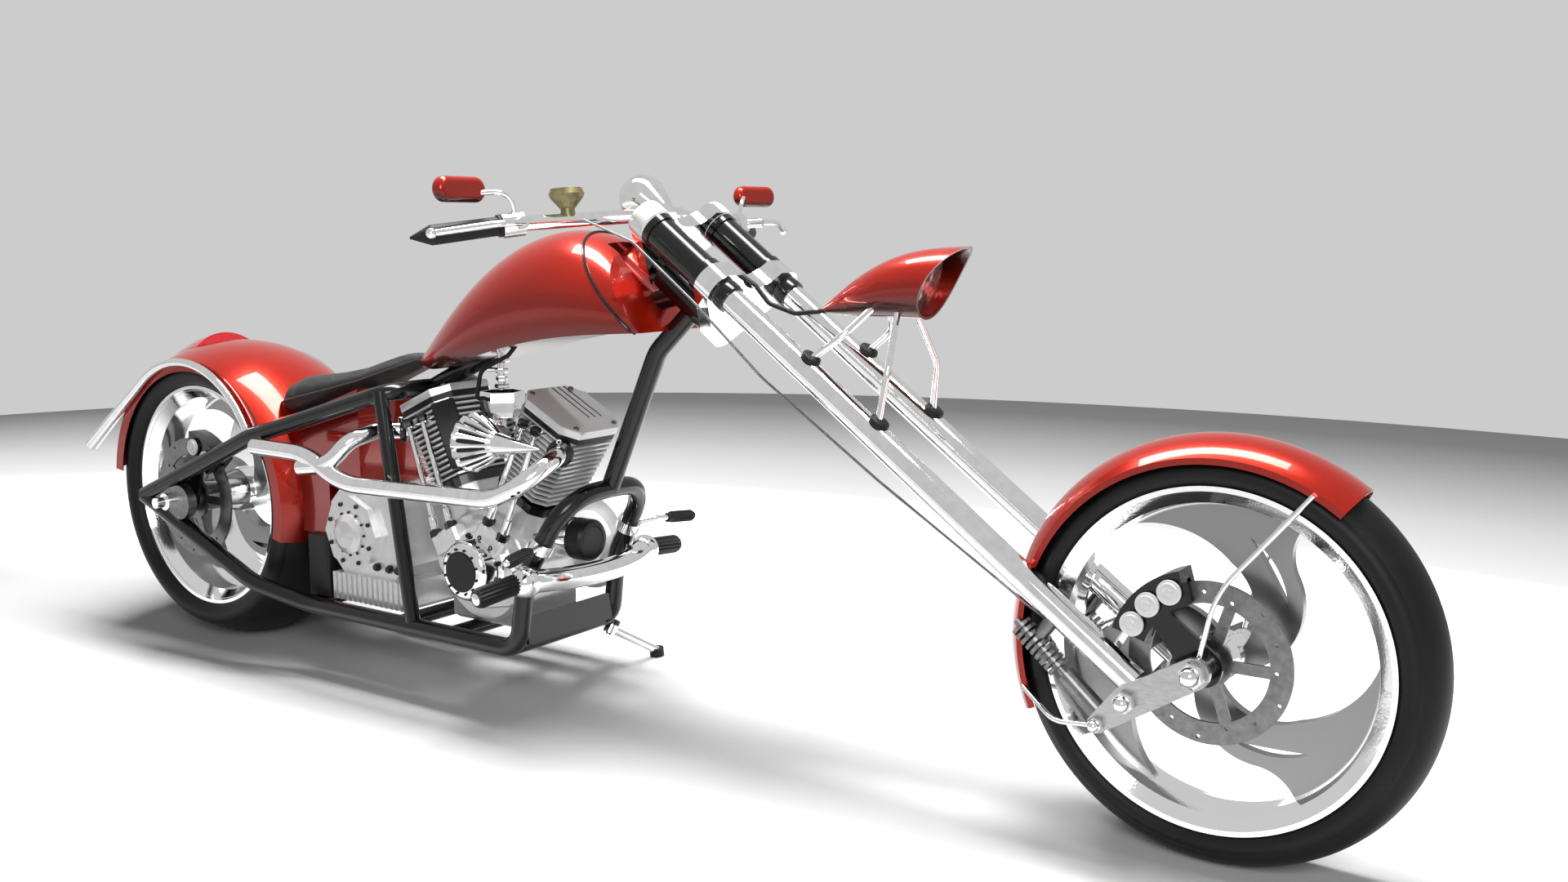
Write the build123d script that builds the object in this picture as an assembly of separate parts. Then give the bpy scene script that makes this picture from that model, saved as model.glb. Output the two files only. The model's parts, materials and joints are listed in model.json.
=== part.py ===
"""Chopper motorcycle with a long raked fork, an open V-twin and a side stand.

Millimetres. The bike is drawn upright: +X forward, +Y to its left, +Z up, with the origin on the floor
under the rear axle. At the end every piece is leaned to the left, onto the side stand, as the bike parks.
"""

import math
import os
from collections import namedtuple

from build123d import *

# Stance
LEAN = 6.0  # degrees to the left when parked
FIT = 0.3  # gap between pieces that seat on one another
RUN = 1.0  # gap beside a turning hub

# Wheels: outline of each tyre and rim
Wheel = namedtuple("Wheel", "radius half crown tread wall flange flange_half barrel hub hub_half blade")
FRONT = Wheel(
    radius=330.0, half=60.0, crown=62.0, tread=52.0, wall=14.0, flange=269.0, flange_half=54.5,
    barrel=238.0, hub=36.0, hub_half=51.0, blade=9.0,
)
REAR = Wheel(
    radius=352.0, half=138.0, crown=220.0, tread=118.0, wall=16.0, flange=264.0, flange_half=121.0,
    barrel=232.0, hub=52.0, hub_half=139.0, blade=14.0,
)
BEAD_DEPTH = 12.0  # how far the tyre's bead sits below the rim flange
FLANGE_LIP = 5.0
BLADES = 3
AXLE_R = 12.5
AXLE_NUT_R = 20.0
AXLE_NUT_THICK = 14.0
AXLE_STUB = 24.0  # bare end of the rear axle outside its nut, where a stand takes hold
SPACER_R = 24.0

# Steering geometry: the axis leaves the neck's foot and the fork lies ahead of it
NECK_X = 1458.0
NECK_Z = 813.0
RAKE = 53.4  # degrees from vertical
FORK_OFFSET = 100.0  # fork tubes ahead of the steering axis
AXLE_OFFSET = 92.0  # front axle ahead of the fork tubes
FORK_HALF = 94.0  # half the spacing of the fork tubes
FORK_R = 23.5
NECK_R = 32.0
NECK_LENGTH = 132.0
STEM_R = 16.0
CLAMP_HEIGHT = 38.0
CLAMP_R = 35.0
SLEEVE_R = 31.0
SLEEVE_LENGTH = 148.0
SLEEVE_END = 14.0
ROCKER_THICK = 10.0
LUG_R = 18.0

# Frame tubes
TUBE_R = 19.0
SPINE_R = 20.0
POST_R = 16.0
CROSS_R = 16.0
RAIL_HALF = 140.0  # half the spacing of the bottom rails
RAIL_Z = 147.0
STAY_HALF = 206.0  # half the spacing of the stays at the rear apex
APEX_BACK = 105.0  # rear apex behind the axle
PLATE_THICK = 22.0
PLATE_IN = 189.0  # inner face of each axle plate

# Fenders
FENDER_WALL = 2.5
FRONT_FENDER_GAP = 11.0  # above the tyre
FRONT_FENDER_HALF = 65.5
FRONT_FENDER_EDGE = 303.0  # radius of the lower edge
REAR_FENDER_GAP = 12.0
REAR_FENDER_SIDE = 6.0  # beside the tyre
REAR_FENDER_EDGE = 300.0
STRUT_R = 7.0
STRUT_X = -8.0  # centre of the strut's arc
STRUT_Z = 402.0
STRUT_ARC_R = 272.0
STRUT_FROM = 23.0  # degrees above the front where the arc starts and ends
STRUT_TO = 126.9
STRUT_TAIL = 300.0

# Engine
CRANK_X = 965.0
CRANK_Z = 300.0
V_HALF = 27.5  # degrees each cylinder leans from vertical
CASE_R = 132.0
CASE_HALF = 92.0
DECK = 150.0  # crank to the cylinder's foot
FOOT_PLATE = 10.0
BARREL_HEIGHT = 132.0
HEAD_HEIGHT = 78.0
COVER_HEIGHT = 36.0
COVER_LONG = 92.0
COVER_WIDE = 90.0
COVER_CORNER = 38.0
BARREL_LONG = 74.0  # half length fore and aft
BARREL_WIDE = 80.0  # half width across
BARREL_CORNER = 22.0
FINS = 16
FIN_DEPTH = 11.0
FIN_GAP = 0.54  # share of the pitch left open between fins
PORT_UP = 18.0  # exhaust ports above the head's foot
PORT_ALONG = 56.0
CAM_X = 945.0
CAM_Z = 310.0
CAM_R = 92.0
GEARCASE_HALF = 122.0
PIPE_R = 18.5
PIPE_Y = 206.0

# Final drive
BELT_INNER = 148.0
BELT_WIDE = 20.0
BELT_THICK = 6.0
PULLEY_LIP = 3.0  # pulley beside the belt
REAR_PULLEY_R = 112.0
FRONT_PULLEY_R = 42.0
GEARBOX_X = 530.0
GEARBOX_Z = 319.0
GEARBOX_FLOOR = 224.0
GEARBOX_HEIGHT = 190.0
GEARBOX_BACK = 448.0
GEARBOX_LONG = 236.0

# Side stand
STAND_PIVOT = (1034.0, 166.0, 116.0)
STAND_FOOT_X = 1062.0
STAND_FOOT_Y = 288.0
STAND_R = 9.0
STAND_FOLD = (-0.985, 0.16, 0.06)  # where the leg points when folded
FOOT_R = 16.0
FOOT_HEIGHT = 12.0
EYE_R = 15.0
EYE_THICK = 20.0
PIN_R = 6.0

# Points worked out from those sizes
LEAN_SIN = math.sin(math.radians(LEAN))
LEAN_COS = math.cos(math.radians(LEAN))
RAKE_SIN = math.sin(math.radians(RAKE))
RAKE_COS = math.cos(math.radians(RAKE))
FORK = Plane((NECK_X, 0, NECK_Z), x_dir=(RAKE_COS, 0, RAKE_SIN), z_dir=(-RAKE_SIN, 0, RAKE_COS))
AXLE_AHEAD = FORK_OFFSET + AXLE_OFFSET
FORK_DROP = (NECK_Z + AXLE_AHEAD * RAKE_SIN - FRONT.radius) / RAKE_COS
REAR_AXLE = Vector(0, 0, REAR.radius)
REAR_AXLE_END = PLATE_IN + PLATE_THICK + FIT + AXLE_NUT_THICK + AXLE_STUB
FRONT_AXLE = FORK.from_local_coords(Vector(AXLE_AHEAD, 0, -FORK_DROP))
UP = Vector(0, 0, 1)
LEFT = Vector(0, 1, 0)
AHEAD = Vector(1, 0, 0)


# Small builders

def steered(ahead, left, up):
    """A point given ahead of, left of and up along the steering axis."""
    return FORK.from_local_coords(Vector(ahead, left, up))


def group(*shapes):
    return Compound([solid for shape in shapes for solid in shape.solids()])


def joined(*shapes):
    """Shapes welded into one solid, or into as many as do not touch."""
    solids = group(*shapes).solids()
    return group(solids[0].fuse(*solids[1:]))


def less(shape, *cutters):
    """A shape with others taken out of it."""
    tools = group(*cutters).solids()
    return group(*[solid.cut(*tools) for solid in shape.solids()])


def pair(shape):
    return group(shape, mirror(shape, about=Plane.XZ))


def rod(start, end, radius):
    start, end = Vector(start), Vector(end)
    along = end - start
    return Plane(start, z_dir=along) * Cylinder(radius, along.length, align=(Align.CENTER, Align.CENTER, Align.MIN))


def tube(points, radius, bends):
    """A round bar along straight runs joined by tangent arcs."""
    path = FilletPolyline(*points, radius=bends)
    return sweep(Plane(path @ 0, z_dir=path % 0) * Circle(radius), path=path)


def arc_bar(start, middle, end, radius):
    path = ThreePointArc(start, middle, end)
    return sweep(Plane(path @ 0, z_dir=path % 0) * Circle(radius), path=path)


def turned(outline, origin, direction):
    """A closed outline of (radius, height) points turned about an axis."""
    face = make_face(Polyline(*outline, close=True).edges())
    return Plane(origin, z_dir=direction) * revolve(Plane.XZ * face, axis=Axis.Z)


def sleeve(outer, inner, start, end):
    return less(rod(start, end, outer), rod(start, end, inner))


def side_plate(face, y_low, y_high):
    """A face drawn in side view (x, z), made solid from y_low to y_high."""
    return extrude(Plane.XZ.offset(-y_high) * face, amount=y_high - y_low)


def hull(*circles):
    """The outline round circles given as (x, z, radius)."""
    return make_hull([edge for x, z, r in circles for edge in (Pos(x, z) * Circle(r)).edges()])


def axle_turned(curves, axle, arc=360.0, from_front=0.0):
    """A closed (y, radius) outline turned about a wheel's axle, from an angle above the front."""
    face = Plane.YZ * make_face(curves)
    return Pos(axle) * Rot(Y=90 - from_front - arc) * revolve(face, axis=Axis.Y, revolution_arc=arc)


def around(axle, radius, degrees, y=0.0):
    """A point about an axle, at an angle above the front."""
    turn = math.radians(degrees)
    return Vector(axle.X + radius * math.cos(turn), y, axle.Z + radius * math.sin(turn))


def octagon(long_half, wide_half, corner):
    """A rectangle with its corners cut off."""
    points = [(long_half - corner, wide_half), (long_half, wide_half - corner)]
    points += [(x, -y) for x, y in reversed(points)]
    points += [(-x, y) for x, y in reversed(points)]
    return make_face(Polyline(*points, close=True).edges())


def section_face(x, low, high, half, waist, foot, tilt):
    """A tank-like section: crown arc, side arcs that leave it smoothly, and a flat bottom."""
    height = high - low
    shoulder = waist * height
    crown = ThreePointArc((-half, shoulder), (0, height), (half, shoulder))
    right = TangentArc(crown @ 1, (foot, 0), tangent=crown % 1)
    left = TangentArc(crown @ 0, (-foot, 0), tangent=(crown % 0) * -1)
    bottom = Line((-foot, 0), (foot, 0))
    turn = math.radians(tilt)
    plane = Plane((x, 0, low), x_dir=(0, 1, 0), z_dir=(math.cos(turn), 0, math.sin(turn)))
    return plane * make_face([crown, right, left, bottom])


# Wheels

def tyre(wheel, axle):
    bead = wheel.flange - BEAD_DEPTH + FIT
    bead_half = wheel.flange_half - FLANGE_LIP - FIT
    shoulder = wheel.radius - wheel.crown + math.sqrt(wheel.crown**2 - wheel.tread**2)
    widest = (shoulder + bead) / 2 + wheel.wall / 2
    right = ThreePointArc((-wheel.tread, shoulder), (-wheel.half, widest), (-bead_half, wheel.flange))
    left = ThreePointArc((wheel.tread, shoulder), (wheel.half, widest), (bead_half, wheel.flange))
    crown = ThreePointArc((-wheel.tread, shoulder), (0, wheel.radius), (wheel.tread, shoulder))
    inside = Polyline(
        (-bead_half, wheel.flange), (-bead_half, bead), (-bead_half + wheel.wall, bead),
        (-wheel.half + wheel.wall, widest), (-wheel.tread + wheel.wall, shoulder - wheel.wall),
        (0, wheel.radius - wheel.wall),
        (wheel.tread - wheel.wall, shoulder - wheel.wall), (wheel.half - wheel.wall, widest),
        (bead_half - wheel.wall, bead), (bead_half, bead), (bead_half, wheel.flange),
    )
    return axle_turned([right, crown, left, *inside.edges()], axle)


def blade_outline(rim_r, hub_r):
    """One swirl blade, from a wide pointed fan at the rim to its root at the hub."""
    def spot(radius, degrees):
        turn = math.radians(degrees)
        return (radius * math.cos(turn), radius * math.sin(turn))

    lead = ThreePointArc(spot(rim_r, 9), spot(0.80 * rim_r, -15), spot(0.61 * rim_r, -35))
    lead_root = ThreePointArc(spot(0.61 * rim_r, -35), spot(0.40 * rim_r, -62), spot(0.7 * hub_r, -105))
    root = Line(spot(0.7 * hub_r, -105), spot(0.7 * hub_r, -165))
    trail_root = ThreePointArc(spot(0.7 * hub_r, -165), spot(0.38 * rim_r, -112), spot(0.72 * rim_r, -70))
    trail = ThreePointArc(spot(0.72 * rim_r, -70), spot(0.86 * rim_r, -60), spot(rim_r, -59))
    fan = ThreePointArc(spot(rim_r, -59), spot(rim_r, -25), spot(rim_r, 9))
    slot = [
        ThreePointArc(spot(0.55 * rim_r, -79), spot(0.65 * rim_r, -57), spot(0.80 * rim_r, -42)),
        ThreePointArc(spot(0.80 * rim_r, -42), spot(0.66 * rim_r, -64), spot(0.55 * rim_r, -79)),
    ]
    return make_face([lead, lead_root, root, trail_root, trail, fan]) - make_face(slot)


def rim(wheel, axle, hub_left):
    seat = wheel.flange - BEAD_DEPTH
    half, lip = wheel.flange_half, wheel.flange_half - FLANGE_LIP
    dish = wheel.flange - 8
    outline = Polyline(
        (-half, wheel.flange), (-lip, wheel.flange), (-lip, seat), (lip, seat), (lip, wheel.flange),
        (half, wheel.flange), (half, dish), (0.75 * half, wheel.barrel + 4), (2.2 * wheel.blade, wheel.barrel),
        (-2.2 * wheel.blade, wheel.barrel), (-0.75 * half, wheel.barrel + 4), (-half, dish), close=True,
    )
    ring = axle_turned(outline.edges(), axle)
    blade = side_plate(blade_outline(wheel.barrel + 3, wheel.hub), -wheel.blade, wheel.blade)
    blades = [Pos(axle) * Rot(Y=360 / BLADES * turn) * blade for turn in range(BLADES)]
    waist = 0.7 * wheel.hub
    hub_outline = Polyline(
        (-wheel.hub_half, AXLE_R + RUN), (-wheel.hub_half, waist), (-0.6 * wheel.hub_half, waist),
        (-2 * wheel.blade, wheel.hub), (2 * wheel.blade, wheel.hub), (0.6 * wheel.hub_half, waist),
        (hub_left, waist), (hub_left, AXLE_R + RUN), close=True,
    )
    hub = axle_turned(hub_outline.edges(), axle)
    return less(joined(ring, hub, *blades), rod(axle - LEFT * 300, axle + LEFT * 300, AXLE_R + RUN))


Disc = namedtuple("Disc", "outer inner y thick arms")
FRONT_DISC = Disc(outer=126.0, inner=92.0, y=-56.0, thick=5.0, arms=5)
REAR_DISC = Disc(outer=142.0, inner=104.0, y=-145.0, thick=6.0, arms=5)
DISC_HOLE_R = 3.2
DISC_HOLES = 15


def brake_disc(disc, wheel, axle):
    low, high = disc.y - disc.thick / 2, disc.y + disc.thick / 2
    face = Circle(disc.outer) - Circle(disc.inner)
    centre = Circle(wheel.hub) - Circle(AXLE_R + 2 * RUN)
    arm = Pos(disc.inner / 2 + 8, 0) * Rectangle(disc.inner - 4, 18) - Circle(wheel.hub - 6)
    for turn in range(disc.arms):
        face += Rot(Z=360 / disc.arms * turn) * arm
    face += centre
    middle = (disc.outer + disc.inner) / 2
    for turn in range(DISC_HOLES):
        spread = middle + (turn % 3 - 1) * 8
        face -= Rot(Z=360 / DISC_HOLES * turn) * Pos(spread, 0) * Circle(DISC_HOLE_R)
    plate = Pos(axle) * side_plate(face, low, high)
    hub_end = -wheel.hub_half
    boss = sleeve(0.7 * wheel.hub, AXLE_R + RUN, axle + LEFT * hub_end, axle + LEFT * high)
    return joined(plate, boss) if high < hub_end else plate


Caliper = namedtuple("Caliper", "inner outer from_front arc y_out y_in bore bracket_y bracket_thick pistons")
FRONT_CALIPER = Caliper(
    inner=94.0, outer=148.0, from_front=106.0, arc=58.0, y_out=-88.0, y_in=-34.0,
    bore=18.0, bracket_y=-88.0, bracket_thick=8.0, pistons=3,
)
REAR_CALIPER = Caliper(
    inner=104.0, outer=164.0, from_front=38.0, arc=44.0, y_out=-166.0, y_in=-124.0,
    bore=24.0, bracket_y=-166.0, bracket_thick=8.0, pistons=2,
)
DISC_GAP = 5.5


def caliper(spec, disc, axle):
    """A caliper that straddles the disc, its piston covers, and the arm that holds it at the axle."""
    def sector(inner, outer, y_low, y_high):
        outline = Polyline((y_low, inner), (y_high, inner), (y_high, outer), (y_low, outer), close=True)
        return axle_turned(outline.edges(), axle, spec.arc, spec.from_front)

    block = sector(spec.inner, spec.outer, spec.y_out, spec.y_in)
    half = disc.thick / 2 + DISC_GAP
    gap_outline = Polyline(
        (disc.y - half, 0.5 * spec.inner), (disc.y + half, 0.5 * spec.inner),
        (disc.y + half, disc.outer + DISC_GAP), (disc.y - half, disc.outer + DISC_GAP), close=True,
    )
    gap = axle_turned(gap_outline.edges(), axle)
    middle = (spec.inner + spec.outer) / 2
    cover_r = 0.36 * (spec.outer - spec.inner)
    pistons = []
    for number in range(spec.pistons):
        turn = spec.from_front + spec.arc * (number + 0.5) / spec.pistons
        at = around(axle, middle, turn, spec.y_out)
        pistons.append(rod(at + LEFT * 2, at - LEFT * 5, cover_r))
    ear = around(axle, spec.inner + 8, spec.from_front + spec.arc / 2)
    arm_face = hull((axle.X, axle.Z, spec.bore + 12), (ear.X, ear.Z, 16))
    arm = side_plate(arm_face, spec.bracket_y, spec.bracket_y + spec.bracket_thick)
    bore = rod(axle - LEFT * 300, axle + LEFT * 300, spec.bore + FIT)
    return less(joined(less(block, gap), arm, *pistons), bore)


# Frame

def rail_path(side):
    half = RAIL_HALF * side
    return [
        (-APEX_BACK, STAY_HALF * side, REAR.radius + 4),
        (262, 182 * side, 186),
        (408, half, RAIL_Z),
        (1062, half, RAIL_Z),
        (1084, (RAIL_HALF - 4) * side, 300),
        (1182, (RAIL_HALF - 20) * side, 462),
        (1190, 0, 468),
    ]


RAIL_BENDS = [220, 200, 48, 150, 92]
ARCH_TOP = Vector(1190, 0, 468)
STAY_MIDDLE = Vector(280, 182, 522)
STAY_FRONT = Vector(690, 132, 643)


def frame_rails():
    return group(*[tube(rail_path(side), TUBE_R, RAIL_BENDS) for side in (1, -1)])


def seat_stays(rails):
    rear = Vector(-APEX_BACK, STAY_HALF, REAR.radius + 4)
    loop = [
        (rear.X, -rear.Y, rear.Z), (STAY_MIDDLE.X, -STAY_MIDDLE.Y, STAY_MIDDLE.Z),
        (STAY_FRONT.X, -STAY_FRONT.Y, STAY_FRONT.Z), tuple(STAY_FRONT), tuple(STAY_MIDDLE), tuple(rear),
    ]
    return less(tube(loop, TUBE_R, [300, 50, 50, 300]), rails)


SPINE_KNEE = Vector(930, 0, 752)
DOWNTUBE_KNEE = Vector(1318, 0, 745)


def spine_tubes(gap):
    """Downtube and backbone, a gap thicker where they are cut out of a neighbour."""
    rear = Vector(STAY_FRONT.X, 0, STAY_FRONT.Z)
    downtube = [ARCH_TOP, DOWNTUBE_KNEE, steered(0, 0, 46)]
    backbone = [steered(0, 0, 82), SPINE_KNEE, rear]
    return group(
        tube([tuple(point) for point in downtube], TUBE_R + gap, 80),
        tube([tuple(point) for point in backbone], SPINE_R + gap, 200),
    )


def frame_spine(rails, stays):
    neck = FORK * Pos(0, 0, 8) * Cylinder(NECK_R, NECK_LENGTH, align=(Align.CENTER, Align.CENTER, Align.MIN))
    bore = FORK * Cylinder(STEM_R + RUN, 4 * NECK_LENGTH)
    return less(joined(neck, spine_tubes(0)), bore, rails, stays)


CROSS_X = (400.0, 700.0, 860.0, 1040.0)


def stand_axis():
    """Pivot, leg direction and turning axis of the side stand, as it stands."""
    pivot = Vector(STAND_PIVOT)
    foot = Vector(STAND_FOOT_X, STAND_FOOT_Y, STAND_FOOT_Y * LEAN_SIN / LEAN_COS + FOOT_HEIGHT)
    leg = (foot - pivot).normalized()
    fold = Vector(STAND_FOLD).normalized()
    return pivot, foot, leg, leg.cross(fold).normalized()


def frame_braces(rails, stays):
    posts = pair(rod((672, -136, 644), (752, -RAIL_HALF, RAIL_Z), POST_R))
    bars = [rod((x, -RAIL_HALF, RAIL_Z), (x, RAIL_HALF, RAIL_Z), CROSS_R) for x in CROSS_X]
    panel = Pos(1074, 0, RAIL_Z + 37) * Box(4, 2 * RAIL_HALF - 30, 58)
    pivot, _, _, axis = stand_axis()
    lug = rod(pivot + axis * (EYE_THICK / 2 + FIT), pivot + axis * (EYE_THICK / 2 + 12), EYE_R)
    pin = rod(pivot - axis * (EYE_THICK / 2 + 3), pivot + axis * (EYE_THICK / 2 + 4), PIN_R)
    web = rod(pivot + axis * (EYE_THICK / 2 + 6), Vector(pivot.X + 4, RAIL_HALF, RAIL_Z), 7)
    eye_room = rod(pivot - axis * EYE_THICK, pivot + axis * (EYE_THICK / 2 + FIT), EYE_R + 5)
    return less(group(posts, *bars, panel, joined(lug, pin, less(web, eye_room))), rails, stays)


def axle_plates(rails, stays):
    face = hull((-36, REAR.radius, 22), (34, REAR.radius, 40))
    plate = side_plate(face, -PLATE_IN - PLATE_THICK, -PLATE_IN)
    bore = rod((0, -300, REAR.radius), (0, 300, REAR.radius), AXLE_R + FIT)
    return less(pair(plate), bore, rails, stays)


def rear_axle():
    nut_in = PLATE_IN + PLATE_THICK + FIT
    bar = rod(REAR_AXLE - LEFT * REAR_AXLE_END, REAR_AXLE + LEFT * REAR_AXLE_END, AXLE_R)
    right_from = REAR_DISC.thick / 2 + RUN - REAR_DISC.y
    left_from = BELT_INNER + BELT_WIDE + PULLEY_LIP + RUN
    parts = [bar]
    for side, start in ((-1, right_from), (1, left_from)):
        out = LEFT * side
        parts.append(rod(REAR_AXLE + out * start, REAR_AXLE + out * (PLATE_IN - FIT), SPACER_R))
        parts.append(rod(REAR_AXLE + out * nut_in, REAR_AXLE + out * (nut_in + AXLE_NUT_THICK), AXLE_NUT_R))
    return joined(*parts)


# Body work

def fender_section(half, edge, crown_low, crown_high):
    """U-shaped section of a fender: two skirts under a crown arc."""
    return [
        Line((-half, edge), (-half, crown_low)),
        ThreePointArc((-half, crown_low), (0, crown_high), (half, crown_low)),
        Line((half, crown_low), (half, edge)),
        Line((half, edge), (-half, edge)),
    ]


FRONT_FENDER_FRONT = 53.0  # degrees above the front where the front fender starts
FRONT_FENDER_ARC = 150.0
REAR_FENDER_FRONT = -13.0
REAR_FENDER_ARC = 186.0
REAR_FENDER_SAG = 36.0
FRONT_FENDER_SAG = 28.0


def fender(axle, half, edge, top, sag, front, arc):
    outer = axle_turned(fender_section(half + FENDER_WALL, edge, top - sag, top + FENDER_WALL), axle, arc, front)
    inner = axle_turned(fender_section(half, edge - 20, top - sag, top), axle, arc + 20, front - 10)
    return less(outer, inner)


REAR_FENDER_TOP = REAR.radius + REAR_FENDER_GAP
REAR_FENDER_HALF = REAR.half + REAR_FENDER_SIDE


def rear_fender():
    return fender(REAR_AXLE, REAR_FENDER_HALF, REAR_FENDER_EDGE, REAR_FENDER_TOP, REAR_FENDER_SAG,
                  REAR_FENDER_FRONT, REAR_FENDER_ARC)


def rear_fender_core(gap):
    """All that the rear fender encloses, for seating its neighbours."""
    half, top = REAR_FENDER_HALF + FENDER_WALL + gap, REAR_FENDER_TOP + FENDER_WALL + gap
    return axle_turned(fender_section(half, 1.0, top - REAR_FENDER_SAG - FENDER_WALL, top), REAR_AXLE)


def front_fender():
    return fender(FRONT_AXLE, FRONT_FENDER_HALF, FRONT_FENDER_EDGE, FRONT.radius + FRONT_FENDER_GAP,
                  FRONT_FENDER_SAG, FRONT_FENDER_FRONT, FRONT_FENDER_ARC)


def fender_struts(stays):
    y = -(REAR_FENDER_HALF + FENDER_WALL + STRUT_R + FIT)
    centre = Vector(STRUT_X, 0, STRUT_Z)
    start, middle, end = [
        around(centre, STRUT_ARC_R, turn, y) for turn in (STRUT_FROM, (STRUT_FROM + STRUT_TO) / 2, STRUT_TO)
    ]
    arc = ThreePointArc(start, middle, end)
    path = Wire([arc, Line(end, end + (arc % 1) * STRUT_TAIL)])
    strut = sweep(Plane(start, z_dir=arc % 0) * Circle(STRUT_R), path=path)
    boss = rod(start, (start.X, -STAY_MIDDLE.Y, start.Z), 5)
    return less(pair(joined(strut, boss)), stays)


def tail_lamp():
    outer = REAR_FENDER_TOP + FENDER_WALL + FIT
    half = 96.0
    sag = half**2 / 520
    lens = [
        ThreePointArc((-half, outer - 1.6 * sag), (0, outer + 20), (half, outer - 1.6 * sag)),
        Line((half, outer - 1.6 * sag), (-half, outer - 1.6 * sag)),
    ]
    return less(axle_turned(lens, REAR_AXLE, 15, 99), rear_fender_core(FIT))


TankRow = namedtuple("TankRow", "x low high half waist foot tilt", defaults=(0.0,))
TANK = (
    TankRow(x=684, low=690, high=720, half=34, waist=0.45, foot=26),
    TankRow(x=830, low=702, high=840, half=100, waist=0.40, foot=84),
    TankRow(x=1010, low=748, high=954, half=128, waist=0.42, foot=112),
    TankRow(x=1190, low=778, high=979, half=132, waist=0.42, foot=118, tilt=8.0),
    TankRow(x=1366, low=790, high=976, half=118, waist=0.42, foot=108, tilt=35.4),
)
SEAT = (
    TankRow(x=262, low=548, high=628, half=96, waist=0.45, foot=92),
    TankRow(x=335, low=566, high=652, half=116, waist=0.45, foot=108),
    TankRow(x=460, low=606, high=668, half=100, waist=0.45, foot=92),
    TankRow(x=560, low=642, high=694, half=62, waist=0.45, foot=54),
    TankRow(x=655, low=676, high=722, half=40, waist=0.45, foot=34),
)


def lofted(rows):
    return loft([section_face(*row) for row in rows])


def fuel_tank():
    return less(lofted(TANK), spine_tubes(FIT), FORK * Cylinder(NECK_R + 14, 4 * NECK_LENGTH))


FUEL_CAP = Vector(1090, 62, 953)


def fuel_cap(tank):
    outline = [(0, -14), (30, -14), (30, 6), (24, 11), (0, 13)]
    return less(turned(outline, FUEL_CAP, Vector(0, 0.35, 1)), tank)


def seat():
    return less(lofted(SEAT), rear_fender_core(FIT))


OIL_TANK_FLOOR = 302.0
OIL_TANK_HALF = 100.0


def oil_tank(seat_solid, stays):
    back, front = SEAT[0].x, 552
    top = [(row.x, row.low + 1) for row in SEAT[:-1]]
    ledge = GEARBOX_FLOOR + GEARBOX_HEIGHT + 4
    side = [
        (back, OIL_TANK_FLOOR), *top[:-1], (front, SEAT[-2].low - 4), (front, ledge),
        (GEARBOX_BACK - 4, ledge), (GEARBOX_BACK - 4, OIL_TANK_FLOOR),
    ]
    block = side_plate(make_face(Polyline(*side, close=True).edges()), -OIL_TANK_HALF, OIL_TANK_HALF)
    return less(block, rear_fender_core(FIT), seat_solid, stays)


BATTERY_X = (374.0, 446.0)


def battery_box():
    floor = RAIL_Z + CROSS_R
    block = Pos(BATTERY_X[0], 0, floor) * Box(
        BATTERY_X[1] - BATTERY_X[0], 230, OIL_TANK_FLOOR - floor, align=(Align.MIN, Align.CENTER, Align.MIN)
    )
    return fillet(block.edges().filter_by(Axis.Z), 8)


# Engine

def leaning(sign):
    """The plane of a cylinder: its axis up from the crank, leaning forward or back."""
    turn = math.radians(V_HALF) * sign
    axis = Vector(math.sin(turn), 0, math.cos(turn))
    return Plane((CRANK_X, 0, CRANK_Z), x_dir=LEFT.cross(axis), z_dir=axis)


def finned_block(low, high, long_half, wide_half):
    """A block with fins on all four sides, as the crossing of two combs."""
    pitch = (high - low) / FINS

    def comb(half):
        points = [(half - FIN_DEPTH, low)]
        for number in range(FINS):
            level = low + number * pitch
            points += [
                (half - FIN_DEPTH, level + FIN_GAP * pitch), (half, level + FIN_GAP * pitch),
                (half, level + pitch), (half - FIN_DEPTH, level + pitch),
            ]
        back = [(-x, z) for x, z in reversed(points)]
        return make_face(Polyline(*points, *back, close=True).edges())

    long_comb = extrude(Plane.XZ * comb(long_half), amount=2 * wide_half, both=True)
    wide_comb = extrude(Plane.YZ * comb(wide_half), amount=2 * long_half, both=True)
    trim = Pos(0, 0, low) * extrude(octagon(long_half, wide_half, BARREL_CORNER), amount=high - low)
    return (long_comb & wide_comb) & trim


def cylinders():
    head_low = DECK + BARREL_HEIGHT
    fins = finned_block(DECK + FOOT_PLATE, head_low + HEAD_HEIGHT, BARREL_LONG, BARREL_WIDE)
    foot = Pos(0, 0, DECK) * Box(128, 140, FOOT_PLATE, align=(Align.CENTER, Align.CENTER, Align.MIN))
    return group(*[leaning(sign) * joined(fins, foot) for sign in (1, -1)])


def rocker_covers():
    low = DECK + BARREL_HEIGHT + HEAD_HEIGHT
    cover = Pos(0, 0, low) * extrude(octagon(COVER_LONG, COVER_WIDE, COVER_CORNER), amount=COVER_HEIGHT)
    cover = chamfer(cover.faces().sort_by(Axis.Z)[-1].edges(), 5)
    return group(*[leaning(sign) * cover for sign in (1, -1)])


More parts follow.
